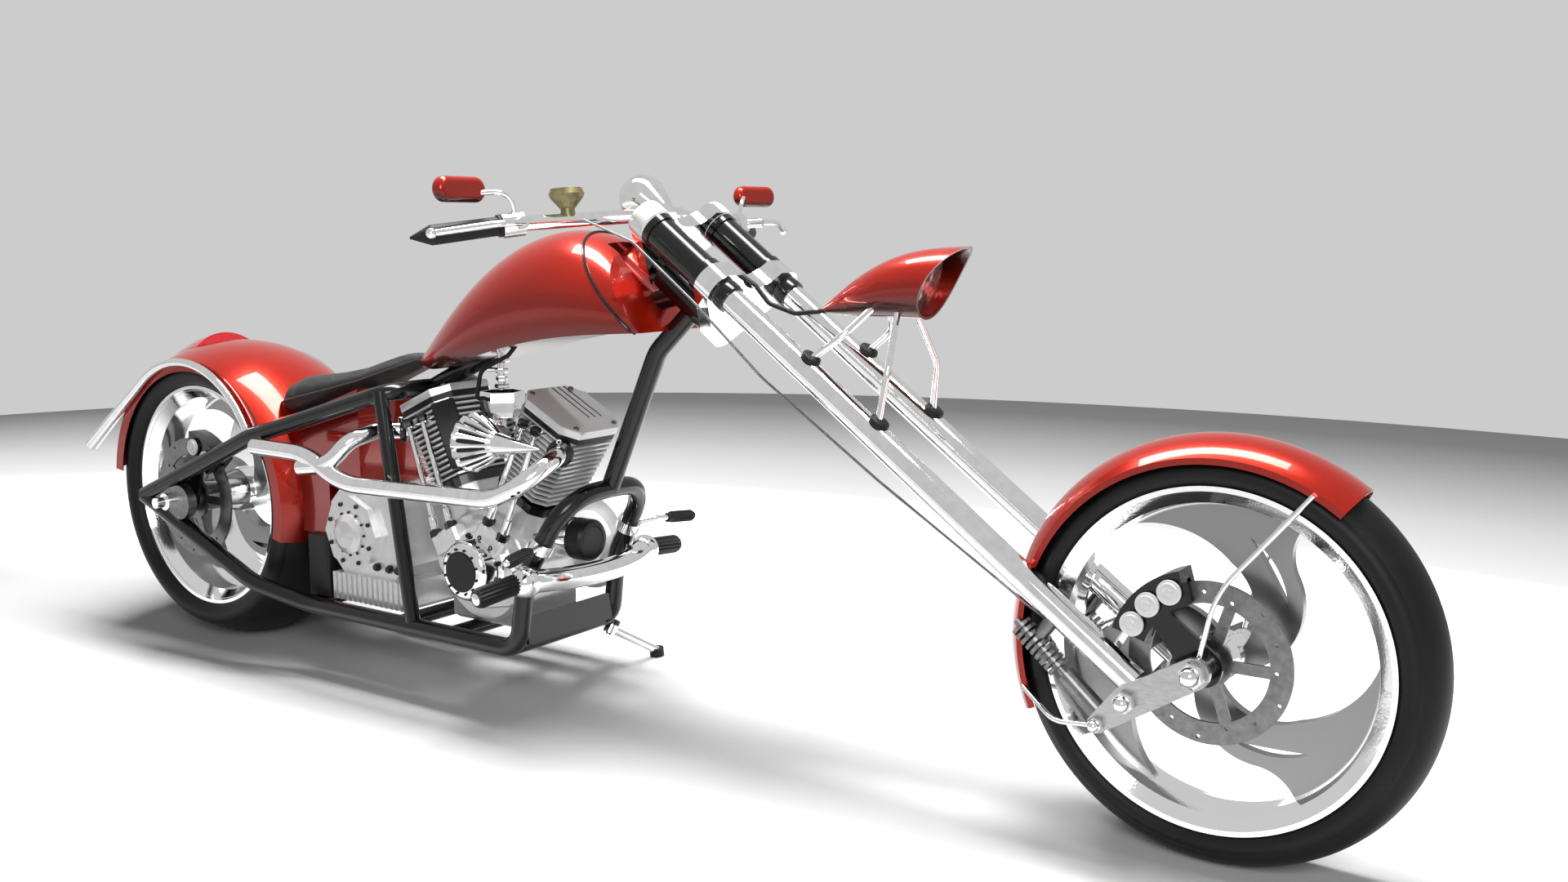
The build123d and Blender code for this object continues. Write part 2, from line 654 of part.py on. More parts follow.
def crankcase(barrels):
    drum = rod((CRANK_X, -CASE_HALF, CRANK_Z), (CRANK_X, CASE_HALF, CRANK_Z), CASE_R)
    decks = [
        leaning(sign) * Pos(0, 0, 40) * Box(136, 150, DECK - 40, align=(Align.CENTER, Align.CENTER, Align.MIN))
        for sign in (1, -1)
    ]
    floor = RAIL_Z + CROSS_R
    sump = Pos(CRANK_X - 45, 0, floor) * Box(230, 150, 110, align=(Align.CENTER, Align.CENTER, Align.MIN))
    gear_face = hull((CAM_X, CAM_Z, CAM_R + 8), (CAM_X + 70, CAM_Z - 34, 42), (CAM_X - 86, CAM_Z + 6, 44))
    gearcase = side_plate(gear_face, -GEARCASE_HALF, -CASE_HALF + 4)
    tappets = [
        Pos(x, -GEARCASE_HALF + 14, z) * Rot(Y=turn) * Box(58, 28, 60)
        for x, z, turn in ((854, 372, -12), (996, 380, 16))
    ]
    return less(joined(drum, *decks, sump, gearcase, *tappets), barrels)


PushRod = namedtuple("PushRod", "lean foot_x foot_z along")
PUSH_RODS = (
    PushRod(lean=-1, foot_x=838, foot_z=398, along=-8),
    PushRod(lean=-1, foot_x=868, foot_z=404, along=24),
    PushRod(lean=1, foot_x=982, foot_z=410, along=-24),
    PushRod(lean=1, foot_x=1012, foot_z=402, along=8),
)
PUSH_ROD_R = 7.0
PUSH_ROD_Y = 106.0
PORT_LEVEL = DECK + BARREL_HEIGHT + PORT_UP


def pushrod_tubes(barrels, case):
    tubes = []
    for row in PUSH_RODS:
        foot = Vector(row.foot_x, -PUSH_ROD_Y, row.foot_z)
        top = leaning(row.lean).from_local_coords(Vector(row.along, 12 - PUSH_ROD_Y, PORT_LEVEL))
        along = (top - foot).normalized()
        cup = rod(foot - along * 12, foot + along * 10, PUSH_ROD_R + 5)
        cap = rod(top - along * 10, top + along * 8, PUSH_ROD_R + 4)
        boss = rod(top, Vector(top.X, -BARREL_WIDE, top.Z), PUSH_ROD_R + 1)
        tubes.append(joined(rod(foot, top, PUSH_ROD_R), cup, cap, boss))
    return less(group(*tubes), barrels, case)


def cam_cover():
    outline = [
        (0, 0), (CAM_R, 0), (CAM_R, 12), (0.88 * CAM_R, 18), (0.82 * CAM_R, 40), (0.68 * CAM_R, 48),
        (0.62 * CAM_R, 48), (0.62 * CAM_R, 54), (0, 54),
    ]
    return turned(outline, (CAM_X, -GEARCASE_HALF, CAM_Z), -LEFT)


AIR_X = 938.0
AIR_Y = -172.0
AIR_Z = 566.0
AIR_R = 74.0
AIR_LENGTH = 222.0


def air_cleaner():
    """A fluted cone that points forward, open between its flutes."""
    outline = [
        (0, 0), (0.72 * AIR_R, 0), (AIR_R, 16), (0.98 * AIR_R, 30), (0.62 * AIR_R, 112),
        (0.55 * AIR_R, 118), (4, AIR_LENGTH), (0, AIR_LENGTH),
    ]
    cone = turned(outline, (AIR_X, AIR_Y, AIR_Z), AHEAD)
    slots = []
    count = 14
    for number in range(count):
        turn = 360 / count * number
        slot = Pos(AIR_X, AIR_Y, AIR_Z) * Rot(X=turn) * Pos(66, 0, 0.9 * AIR_R) * Rot(Y=20) * Box(66, 8, 12)
        slots.append(slot)
    return less(cone, *slots)


CARB_X = 930.0
CARB_Y = -46.0


def carburettor(barrels, cleaner, covers):
    bowl_face = RegularPolygon(46, 6)
    bowl = Pos(CARB_X, CARB_Y - 26, 598) * extrude(bowl_face, amount=54)
    lid = Pos(CARB_X, CARB_Y - 26, 652) * extrude(RegularPolygon(40, 6), amount=12)
    body = rod((CARB_X, CARB_Y - 26, 560), (CARB_X, CARB_Y - 26, 600), 26)
    throat = rod((CARB_X, 10, 566), (CARB_X, AIR_Y + 10, AIR_Z), 27)
    elbow = rod((CARB_X, AIR_Y, AIR_Z), (AIR_X + 4, AIR_Y, AIR_Z), 34)
    manifold = rod((CRANK_X - 62, 0, 566), (CRANK_X + 62, 0, 566), 22)
    return less(joined(bowl, lid, body, throat, elbow, manifold), barrels, cleaner, covers)


def exhausts(barrels):
    y = -PIPE_Y
    front_port = leaning(1).from_local_coords(Vector(PORT_ALONG, -BARREL_WIDE, PORT_LEVEL))
    rear_port = leaning(-1).from_local_coords(Vector(-PORT_ALONG, -BARREL_WIDE, PORT_LEVEL))
    front = [
        tuple(front_port), (front_port.X + 14, -172, front_port.Z + 8), (1112, y, 478), (1030, y, 458),
        (622, y, 452), (512, y, 506), (330, y, 508),
    ]
    rear = [
        tuple(rear_port), (rear_port.X - 4, -172, rear_port.Z + 14), (724, y, 548), (640, y, 496), (490, y, 476),
    ]
    pipes = []
    for path, bends in ((front, [32, 42, 90, 120, 90]), (rear, [32, 42, 90])):
        start, after = Vector(path[0]), Vector(path[1])
        out = (after - start).normalized()
        flange = rod(start + out * 6, start + out * 16, 26)
        pipes.append(joined(tube(path, PIPE_R, bends), flange))
    return less(group(*pipes), barrels)


def transmission():
    block = Pos(GEARBOX_BACK, 0, GEARBOX_FLOOR) * Box(
        GEARBOX_LONG, 200, GEARBOX_HEIGHT, align=(Align.MIN, Align.CENTER, Align.MIN)
    )
    block = chamfer(block.edges().filter_by(Axis.Y), 34)
    cover = side_plate(Pos(GEARBOX_X, GEARBOX_Z) * RegularPolygon(84, 8), -118, -98)
    dome = turned([(0, 0), (46, 0), (44, 8), (30, 16), (0, 20)], (GEARBOX_X, -118, GEARBOX_Z), -LEFT)
    nose = rod((GEARBOX_X, 98, GEARBOX_Z), (GEARBOX_X, BELT_INNER - 3, GEARBOX_Z), 24)
    pulley_out = BELT_INNER + BELT_WIDE + 2
    pulley = joined(
        rod((GEARBOX_X, BELT_INNER - 2, GEARBOX_Z), (GEARBOX_X, pulley_out, GEARBOX_Z), FRONT_PULLEY_R - 0.5),
        rod((GEARBOX_X, BELT_INNER - 4, GEARBOX_Z), (GEARBOX_X, BELT_INNER - 1, GEARBOX_Z), FRONT_PULLEY_R + 8),
        rod((GEARBOX_X, pulley_out - 1, GEARBOX_Z), (GEARBOX_X, pulley_out + 2, GEARBOX_Z), FRONT_PULLEY_R + 8),
    )
    return joined(block, cover, dome, nose, pulley)


def oil_cooler():
    floor = RAIL_Z + CROSS_R
    ribs = [
        Pos(x, 0, floor) * Box(10, 224, GEARBOX_FLOOR - floor, align=(Align.CENTER, Align.CENTER, Align.MIN))
        for x in range(462, 690, 17)
    ]
    core = Pos(572, 0, floor) * Box(228, 206, GEARBOX_FLOOR - floor, align=(Align.CENTER, Align.CENTER, Align.MIN))
    return joined(core, *ribs)


CLUTCH_X = 660.0
PRIMARY_IN = 180.0
PRIMARY_OUT = 226.0


def primary_cover():
    face = hull((CRANK_X, CRANK_Z, 104), (CLUTCH_X, GEARBOX_Z - 6, 96))
    cover = side_plate(face, PRIMARY_IN, PRIMARY_OUT)
    cover = chamfer(cover.faces().sort_by(Axis.Y)[-1].edges(), 12)
    crank_neck = rod((CRANK_X, CASE_HALF, CRANK_Z), (CRANK_X, PRIMARY_IN + 2, CRANK_Z), 70)
    main_neck = rod((CLUTCH_X - 8, 100, GEARBOX_Z - 6), (CLUTCH_X - 8, PRIMARY_IN + 2, GEARBOX_Z - 6), 26)
    return joined(cover, crank_neck, main_neck)


def final_belt():
    def loop(extra):
        return hull((0, REAR.radius, REAR_PULLEY_R + extra), (GEARBOX_X, GEARBOX_Z, FRONT_PULLEY_R + extra))

    return side_plate(loop(BELT_THICK) - loop(0), BELT_INNER, BELT_INNER + BELT_WIDE)


def rear_pulley():
    y_in, y_out = BELT_INNER - PULLEY_LIP, BELT_INNER + BELT_WIDE + PULLEY_LIP
    drum = rod((0, y_in, REAR.radius), (0, y_out, REAR.radius), REAR_PULLEY_R - 0.5)
    flanges = [
        rod((0, y, REAR.radius), (0, y + 2, REAR.radius), REAR_PULLEY_R + 8) for y in (y_in, y_out - 2)
    ]
    dish = rod((0, y_in + 8, REAR.radius), (0, y_out + 1, REAR.radius), REAR_PULLEY_R - 14)
    boss = rod((0, REAR.hub_half + 2, REAR.radius), (0, y_out, REAR.radius), 38)
    holes = [
        rod(around(REAR_AXLE, 72, 60 * turn, -300), around(REAR_AXLE, 72, 60 * turn, 300), 17) for turn in range(6)
    ]
    bore = rod((0, -300, REAR.radius), (0, 300, REAR.radius), AXLE_R + RUN)
    return less(joined(less(joined(drum, *flanges), dish, *holes), boss), bore)


def oil_filter(case):
    base = rod((CRANK_X + 100, 0, 362), (1118, 0, 368), 38)
    can = rod((1118, 0, 368), (1174, 0, 374), 42)
    return less(joined(base, can), case)


# Foot controls

def foot_controls(rails):
    bar = arc_bar((1128, -168, 302), (1172, 0, 298), (1128, 168, 302), 23)
    stub = rod((1128, -160, 302), (1120, -196, 302), 18)
    clamp = rod((1086, -136, 302), (1140, -152, 302), 15)
    hoop = Vector(1124, -129.5, 366)
    along = Vector(0.516, 0.084, 0.853)
    toe_ring = rod(hoop - along * 12, hoop + along * 12, TUBE_R + 6)
    toe_arm = tube([tuple(hoop + Vector(12, -18, 2)), (1160, -176, 374), (1168, -212, 371)], 6, 20)
    return less(joined(bar, *[pair(piece) for piece in (stub, clamp, toe_ring, toe_arm)]), rails)


def foot_pegs(controls):
    peg = rod((1121, -190, 303), (1114, -296, 292), 17)
    toe = rod((1166, -206, 371), (1178, -276, 366), 10)
    return less(pair(group(peg, toe)), controls)


# Steering

def fork_bar(ahead, left, low, high, radius):
    return FORK * Pos(ahead, left, low) * Cylinder(radius, high - low, align=(Align.CENTER, Align.CENTER, Align.MIN))


FORK_TOP = SLEEVE_LENGTH + 24
PIVOT = Vector(FRONT_AXLE.X - 103, 0, FRONT_AXLE.Z - 60)
SPRING_EYE = Vector(FRONT_AXLE.X - 148, 0, FRONT_AXLE.Z - 104)
FORK_END = FORK.to_local_coords(PIVOT).Z + 12


def fork_tubes():
    tubes = []
    for side in (1, -1):
        leg = fork_bar(FORK_OFFSET, FORK_HALF * side, FORK_END, FORK_TOP, FORK_R)
        y = FORK_HALF * side
        lug = rod((PIVOT.X, y - 20, PIVOT.Z), (PIVOT.X, y + 20, PIVOT.Z), LUG_R)
        neck = rod((PIVOT.X, y, PIVOT.Z), steered(FORK_OFFSET, y, FORK_END + 4), 15)
        tubes.append(joined(leg, lug, neck))
    return group(*tubes)


def clamp_face():
    """Plan of a fork clamp, seen along the steering axis."""
    rings = hull((FORK_OFFSET, FORK_HALF, CLAMP_R), (FORK_OFFSET, -FORK_HALF, CLAMP_R), (0, 0, CLAMP_R))
    holes = Pos(FORK_OFFSET, FORK_HALF) * Circle(FORK_R) + Pos(FORK_OFFSET, -FORK_HALF) * Circle(FORK_R)
    scoop = Pos(FORK_OFFSET + 74, 0) * Circle(72)
    return rings - holes - scoop


def lower_clamp():
    plate = FORK * Pos(0, 0, -CLAMP_HEIGHT) * extrude(clamp_face(), amount=CLAMP_HEIGHT)
    stem = fork_bar(0, 0, -CLAMP_HEIGHT, FORK_TOP - 10, STEM_R)
    race = fork_bar(0, 0, 0, 7.4, STEM_R + 8)
    return joined(plate, stem, race)


def upper_clamp():
    low = SLEEVE_LENGTH + 1
    plate = FORK * Pos(0, 0, low) * extrude(clamp_face(), amount=CLAMP_HEIGHT - 8)
    bore = fork_bar(0, 0, low - 20, FORK_TOP - 10, STEM_R)
    nut = fork_bar(0, 0, low + CLAMP_HEIGHT - 10, low + CLAMP_HEIGHT + 6, 22)
    caps = [fork_bar(FORK_OFFSET, FORK_HALF * side, FORK_TOP, FORK_TOP + 12, CLAMP_R - 6) for side in (1, -1)]
    return less(joined(plate, nut, *caps), bore)


def fork_sleeves():
    covers = []
    for side in (1, -1):
        y = FORK_HALF * side
        body = fork_bar(FORK_OFFSET, y, 0.5, SLEEVE_LENGTH + 0.5, SLEEVE_R)
        ends = [
            fork_bar(FORK_OFFSET, y, low, low + SLEEVE_END, SLEEVE_R + 3)
            for low in (0.5, SLEEVE_LENGTH + 0.5 - SLEEVE_END)
        ]
        bore = fork_bar(FORK_OFFSET, y, -10, SLEEVE_LENGTH + 20, FORK_R)
        covers.append(less(joined(body, *ends), bore))
    return group(*covers)


BAR_R = 13.0
BAR_CENTRE = steered(FORK_OFFSET - 28, 0, FORK_TOP + 48)
BAR_ELBOW = Vector(BAR_CENTRE.X + 2, -74, BAR_CENTRE.Z + 2)
BAR_HAND = Vector(1274, -326, 990)
GRIP_TIP = Vector(1187, -488, 967)
GRIP_R = 16.5
GRIP_LENGTH = 156.0
GRIP_AXIS = (GRIP_TIP - BAR_HAND).normalized()


def opposite(point):
    return Vector(point.X, -point.Y, point.Z)


def handlebar(clamp):
    hand_end = BAR_HAND + GRIP_AXIS * (GRIP_LENGTH - 8)
    right = [hand_end, BAR_HAND, BAR_ELBOW]
    points = [*right, *[opposite(point) for point in reversed(right)]]
    bar = tube([tuple(point) for point in points], BAR_R, [60, 40, 40, 60])
    foot = SLEEVE_LENGTH + CLAMP_HEIGHT - 7
    riser = fork_bar(FORK_OFFSET - 28, -46, foot, FORK_TOP + 48, 15)
    collar = rod(BAR_CENTRE - LEFT * 64, BAR_CENTRE - LEFT * 30, 21)
    return less(joined(bar, pair(joined(riser, collar))), clamp)


def grips(bar):
    along = GRIP_AXIS
    start = BAR_HAND + along * 26
    outline = [
        (0, 0), (GRIP_R + 3, 0), (GRIP_R + 3, 5), (GRIP_R, 6), (GRIP_R + 1, GRIP_LENGTH - 44),
        (GRIP_R + 1, GRIP_LENGTH - 34), (2, GRIP_LENGTH + 2), (0, GRIP_LENGTH + 2),
    ]
    return less(pair(turned(outline, start, along)), bar)


LEVER_TIP = Vector(1262, -506, 975)
MIRROR = Vector(1243, -424, 1048)


def hand_controls(bar, grip):
    along = GRIP_AXIS
    housing = rod(BAR_HAND - along * 14, BAR_HAND + along * 25, 22)
    lever_root = BAR_HAND + Vector(44, -24, 2)
    arm = rod(BAR_HAND, lever_root, 10)
    lever = tube(
        [tuple(lever_root), tuple(lever_root + Vector(6, -46, 0)), tuple(LEVER_TIP)], 6, 60
    )
    ball = Pos(LEVER_TIP) * Sphere(9)
    stem_foot = BAR_HAND + UP * 16
    stem = tube(
        [tuple(stem_foot), tuple(stem_foot + Vector(2, -14, 40)), tuple(MIRROR + Vector(0, 34, -6))], 4.5, 30
    )
    return less(pair(joined(housing, arm, lever, ball, stem)), bar, grip)


def mirrors(controls):
    half_long, deep = 36.0, 13.0
    face = hull((-half_long, 0, 22), (half_long, 0, 22))
    shell = extrude(face, amount=deep, both=True)
    shell = fillet(shell.edges(), 10)
    placed = Plane(MIRROR, x_dir=(0.10, -0.99, 0), z_dir=(0.99, 0.10, 0.05)) * shell
    return less(pair(placed), controls)


RESERVOIR = Vector(1296, -214, 993)


def fluid_reservoir(bar):
    outline = [(0, 0), (13, 0), (13, 24), (17, 28), (30, 44), (32, 50), (28, 60), (0, 63)]
    return less(turned(outline, RESERVOIR, (-0.08, 0, 1)), bar)


def instrument_pod(bar, clamp):
    """An egg-shaped instrument housing over the middle of the bar."""
    half = hull((0, -6, 46), (0, 46, 26)) & Pos(50, 0) * Rectangle(100, 300)
    egg = Plane(BAR_CENTRE + Vector(-30, 0, 32), z_dir=(0.86, 0, -0.5)) * revolve(Plane.XZ * half, axis=Axis.Z)
    return less(egg, bar, clamp)


LampRow = namedtuple("LampRow", "x z radius")
LAMP = (
    LampRow(x=1702, z=838, radius=5),
    LampRow(x=1762, z=858, radius=29),
    LampRow(x=1840, z=878, radius=50),
    LampRow(x=1920, z=886, radius=60),
    LampRow(x=1990, z=888, radius=62),
)
LAMP_WALL = 4.0


def lamp_body(wall):
    return loft([
        Plane((row.x, 0, row.z), x_dir=(0, 1, 0), z_dir=(1, 0, 0)) * Circle(row.radius - wall) for row in LAMP
    ])


def lamp_front():
    """The curved cut that leaves a peaked visor over the lens."""
    tip, low = (1988, 950), (1908, 820)
    face = make_face([
        ThreePointArc(tip, (1938, 896), low), Line(low, (1908, 760)), Line((1908, 760), (2060, 760)),
        Line((2060, 760), (2060, 950)), Line((2060, 950), tip),
    ])
    return side_plate(face, -100, 100)


def headlamp_shell():
    hollow = less(lamp_body(LAMP_WALL), Pos(1800, 0, 870) * Box(120, 200, 200))
    return less(lamp_body(0), hollow, lamp_front())


def headlamp_lens():
    slab = Plane((1896, 0, 884), x_dir=(0, 1, 0), z_dir=(0.94, 0, -0.34)) * Cylinder(90, 8)
    return less(lamp_body(LAMP_WALL + FIT) & slab, lamp_front())


LampLeg = namedtuple("LampLeg", "ahead_x foot_z top_x")
LAMP_LEGS = (LampLeg(ahead_x=1730, foot_z=752, top_x=1822), LampLeg(ahead_x=1866, foot_z=650, top_x=1868))


def headlamp_legs(tubes):
    legs = []
    for row in LAMP_LEGS:
        foot = steered(FORK_OFFSET + FORK_R - 4, -FORK_HALF, FORK.to_local_coords(
            Vector(row.ahead_x, 0, row.foot_z)).Z)
        pad = rod(foot, foot + Vector(RAKE_COS, 0, RAKE_SIN) * 10, 13)
        knee = Vector((foot.X + row.top_x) / 2 + 14, -84, (foot.Z + 840) / 2)
        leg = tube([tuple(foot), tuple(knee), (row.top_x, -24, 850)], 6, 60)
        legs.append(joined(pad, leg))
    both = pair(group(*legs))
    core = lamp_body(0)
    return less(both, core, tubes)


def front_axle():
    bar = rod(FRONT_AXLE - LEFT * 140, FRONT_AXLE + LEFT * 140, AXLE_R)
    rocker_in = FORK_HALF + 22
    spacers = []
    for side, inner in ((1, FRONT.hub_half), (-1, -FRONT_DISC.y + FRONT_DISC.thick / 2)):
        start = FRONT_AXLE + LEFT * side * (inner + RUN)
        spacers.append(rod(start, FRONT_AXLE + LEFT * side * (rocker_in - FIT), 18))
    return joined(bar, *spacers)


def front_rockers(axle, tubes):
    low = FORK_HALF + 22
    face = hull(
        (SPRING_EYE.X, SPRING_EYE.Z, 15), (PIVOT.X, PIVOT.Z, 23), (FRONT_AXLE.X, FRONT_AXLE.Z, 24)
    )
    plate = side_plate(face, low, low + ROCKER_THICK)
    bolts = [
        rod((at.X, start, at.Z), (at.X, low + ROCKER_THICK + 12, at.Z), radius)
        for at, start, radius in ((PIVOT, FORK_HALF + 18, 11), (SPRING_EYE, FORK_HALF - 12, 7))
    ]
    return less(pair(joined(plate, *bolts)), axle, tubes)


SPRING_TOP = Vector(FRONT_AXLE.X - 300, 0, FRONT_AXLE.Z + 30)


def fork_springs(rockers, tubes):
    y = -FORK_HALF
    top, eye = Vector(SPRING_TOP.X, y, SPRING_TOP.Z), Vector(SPRING_EYE.X, y, SPRING_EYE.Z)
    along = (eye - top).normalized()
    length = (eye - top).length
    body = rod(top + along * (0.56 * length), eye, 16)
    shaft = rod(top, eye, 7)
    coils = []
    for number in range(9):
        at = top + along * (10 + number * 10.5)
        coils.append(rod(at, at + along * 6, 19))
    block = rod(top + along * 44, steered(FORK_OFFSET, y, FORK.to_local_coords(top + along * 44).Z), 12)
    return less(pair(joined(body, shaft, block, *coils)), rockers, tubes)


def fender_stays(fender_solid, axle, rockers):
    y = -(FRONT_FENDER_HALF + FENDER_WALL + 4)
    front_top = around(FRONT_AXLE, FRONT_FENDER_EDGE + 6, 62, y)
    rear_top = around(FRONT_AXLE, FRONT_FENDER_EDGE + 6, 196, y)
    front = tube(
        [(FRONT_AXLE.X, -108, FRONT_AXLE.Z + 12), (FRONT_AXLE.X + 22, -106, FRONT_AXLE.Z + 120), tuple(front_top)],
        4, 160,
    )
    rear = tube(
        [(SPRING_EYE.X, -134, SPRING_EYE.Z), (SPRING_EYE.X - 70, -128, SPRING_EYE.Z - 8), tuple(rear_top)], 4, 60,
    )
    return less(pair(group(front, rear)), fender_solid, axle, rockers)


# Side stand

def stand_leg():
    pivot, foot, leg, axis = stand_axis()
    eye = rod(pivot - axis * (EYE_THICK / 2), pivot + axis * (EYE_THICK / 2), EYE_R)
    shaft = rod(pivot, foot, STAND_R)
    hole = rod(pivot - axis * 40, pivot + axis * 40, PIN_R + FIT)
    return less(less(joined(eye, shaft), hole), stand_foot())


def stand_foot():
    _, foot, _, _ = stand_axis()
    upright = Vector(0, -LEAN_SIN, LEAN_COS)
    return rod(foot - upright * FOOT_HEIGHT, foot + upright * 6, FOOT_R)


# The whole bike, upright

def build():
    bodies = {"frame": {}, "steering": {}, "front_wheel": {}, "rear_wheel": {}, "side_stand": {}}
    frame, steer = bodies["frame"], bodies["steering"]

    rails = frame["frame_rails"] = frame_rails()
    stays = frame["seat_stays"] = seat_stays(rails)
    frame["frame_spine"] = frame_spine(rails, stays)
    frame["frame_braces"] = frame_braces(rails, stays)
    plates = frame["axle_plates"] = axle_plates(rails, stays)
    frame["rear_axle"] = less(rear_axle(), plates)
    frame["rear_fender"] = rear_fender()
    frame["fender_struts"] = fender_struts(stays)
    frame["tail_lamp"] = tail_lamp()
    tank = frame["fuel_tank"] = fuel_tank()
    frame["fuel_cap"] = fuel_cap(tank)
    seat_solid = frame["seat"] = seat()
    frame["oil_tank"] = oil_tank(seat_solid, stays)
    frame["battery_box"] = battery_box()
    barrels = frame["cylinders"] = cylinders()
    covers = frame["rocker_covers"] = rocker_covers()
    case = frame["crankcase"] = crankcase(barrels)
    frame["pushrod_tubes"] = pushrod_tubes(barrels, case)
    frame["cam_cover"] = cam_cover()
    cleaner = frame["air_cleaner"] = air_cleaner()
    frame["carburettor"] = carburettor(barrels, cleaner, covers)
    frame["exhausts"] = exhausts(barrels)
    frame["transmission"] = transmission()
    frame["oil_cooler"] = oil_cooler()
    frame["primary_cover"] = primary_cover()
    frame["final_belt"] = final_belt()
    frame["oil_filter"] = oil_filter(case)
    controls = frame["foot_controls"] = foot_controls(rails)
    frame["foot_pegs"] = foot_pegs(controls)
    frame["rear_caliper"] = caliper(REAR_CALIPER, REAR_DISC, REAR_AXLE)

    tubes = steer["fork_tubes"] = fork_tubes()
    steer["lower_clamp"] = lower_clamp()
    high_clamp = steer["upper_clamp"] = less(upper_clamp(), tubes)
    steer["fork_sleeves"] = fork_sleeves()
    bar = steer["handlebar"] = handlebar(high_clamp)
    grip = steer["grips"] = grips(bar)
    hands = steer["hand_controls"] = hand_controls(bar, grip)
    steer["mirrors"] = mirrors(hands)
    steer["fluid_reservoir"] = fluid_reservoir(bar)
    steer["instrument_pod"] = instrument_pod(bar, high_clamp)
    steer["headlamp_shell"] = headlamp_shell()
    steer["headlamp_lens"] = headlamp_lens()
    steer["headlamp_legs"] = headlamp_legs(tubes)
    front_guard = steer["front_fender"] = front_fender()
    axle = steer["front_axle"] = front_axle()
    rockers = steer["front_rockers"] = front_rockers(axle, tubes)
    steer["fork_springs"] = fork_springs(rockers, tubes)
    steer["fender_stays"] = fender_stays(front_guard, axle, rockers)
    steer["front_caliper"] = caliper(FRONT_CALIPER, FRONT_DISC, FRONT_AXLE)

    bodies["front_wheel"]["front_tyre"] = tyre(FRONT, FRONT_AXLE)
    bodies["front_wheel"]["front_rim"] = rim(FRONT, FRONT_AXLE, FRONT.hub_half)
    bodies["front_wheel"]["front_disc"] = brake_disc(FRONT_DISC, FRONT, FRONT_AXLE)
    bodies["rear_wheel"]["rear_tyre"] = tyre(REAR, REAR_AXLE)
    bodies["rear_wheel"]["rear_rim"] = rim(REAR, REAR_AXLE, REAR.hub_half + 2)
    bodies["rear_wheel"]["rear_disc"] = brake_disc(REAR_DISC, REAR, REAR_AXLE)
    bodies["rear_wheel"]["rear_pulley"] = rear_pulley()
    bodies["side_stand"]["stand_leg"] = stand_leg()
    bodies["side_stand"]["stand_foot"] = stand_foot()
    return bodies


# Parking: lean left, tip until both tyres touch, then bring the floor to zero and centre the box

def tyre_drop(wheel):
    return wheel.crown * (1 - LEAN_COS)


def parked_upright():
    """Rotation and lift that park the bike, before it is centred."""
    tip = math.degrees(math.atan2(tyre_drop(REAR) - tyre_drop(FRONT), FRONT_AXLE.X))
    return Pos(0, 0, tyre_drop(REAR)) * Rot(Y=tip) * Rot(X=-LEAN)


def parking(bodies):
    place = parked_upright()
    boxes = [(place * node).bounding_box() for nodes in bodies.values() for node in nodes.values()]
    low_x, high_x = min(box.min.X for box in boxes), max(box.max.X for box in boxes)
    low_y, high_y = min(box.min.Y for box in boxes), max(box.max.Y for box in boxes)
    return Pos(-(low_x + high_x) / 2, -(low_y + high_y) / 2, 0) * place


def main():
    bodies = build()
    place = parking(bodies)
    os.makedirs("parts", exist_ok=True)
    for nodes in bodies.values():
        for name, shape in nodes.items():
            export_step(place * shape, f"parts/{name}.step")
    return bodies, place


if __name__ == "__main__":
    main()
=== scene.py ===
"""Looks, light and camera for the chopper motorcycle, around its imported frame.

The frame is in metres. Trim is drawn on the upright bike in millimetres, +X forward, +Y left and +Z up
from the floor under the rear axle, and BIKE carries it to where the bike parks, leaning on its stand.
"""

import json
import math

import bmesh
import bpy
from mathutils import Matrix, Vector
from mathutils.bvhtree import BVHTree


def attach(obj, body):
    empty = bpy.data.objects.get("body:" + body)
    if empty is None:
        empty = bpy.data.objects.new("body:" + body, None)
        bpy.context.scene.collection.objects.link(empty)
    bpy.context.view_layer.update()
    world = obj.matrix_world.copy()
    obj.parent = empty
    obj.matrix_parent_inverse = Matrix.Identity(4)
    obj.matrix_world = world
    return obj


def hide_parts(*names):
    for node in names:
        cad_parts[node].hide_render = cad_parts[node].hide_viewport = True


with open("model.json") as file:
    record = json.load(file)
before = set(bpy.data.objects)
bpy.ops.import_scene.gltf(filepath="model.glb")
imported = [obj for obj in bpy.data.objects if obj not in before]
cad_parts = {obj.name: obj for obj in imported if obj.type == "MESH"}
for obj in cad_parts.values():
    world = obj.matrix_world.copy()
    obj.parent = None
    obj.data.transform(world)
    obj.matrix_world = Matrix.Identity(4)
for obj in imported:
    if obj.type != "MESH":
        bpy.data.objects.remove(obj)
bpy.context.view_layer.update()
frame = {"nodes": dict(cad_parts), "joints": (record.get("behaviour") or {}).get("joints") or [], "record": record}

# Driving sizes of the frame, in millimetres
REAR_RADIUS = 352.0
FRONT_RADIUS = 330.0
MM = 0.001


def joint(name):
    return next(row for row in frame["joints"] if row["name"] == name)


def bike_matrix():
    """From the upright bike in millimetres to the parked bike in metres."""
    rear = Vector(joint("rear_wheel_spin")["pos_m"])
    across = Vector(joint("rear_wheel_spin")["axis"]).normalized()
    span = Vector(joint("front_wheel_spin")["pos_m"]) - rear
    drop = (REAR_RADIUS - FRONT_RADIUS) * MM
    base = math.sqrt(span.length_squared - drop**2)
    lift = span.cross(across)
    ahead = (base * span + drop * lift) / span.length_squared
    up = (base * lift - drop * span) / span.length_squared
    turn = Matrix((ahead, across, up)).transposed()
    return Matrix.Translation(rear - up * REAR_RADIUS * MM) @ turn.to_4x4() @ Matrix.Scale(MM, 4)


BIKE = bike_matrix()


# Materials

NO_STRETCH = (1.0, 1.0, 1.0)
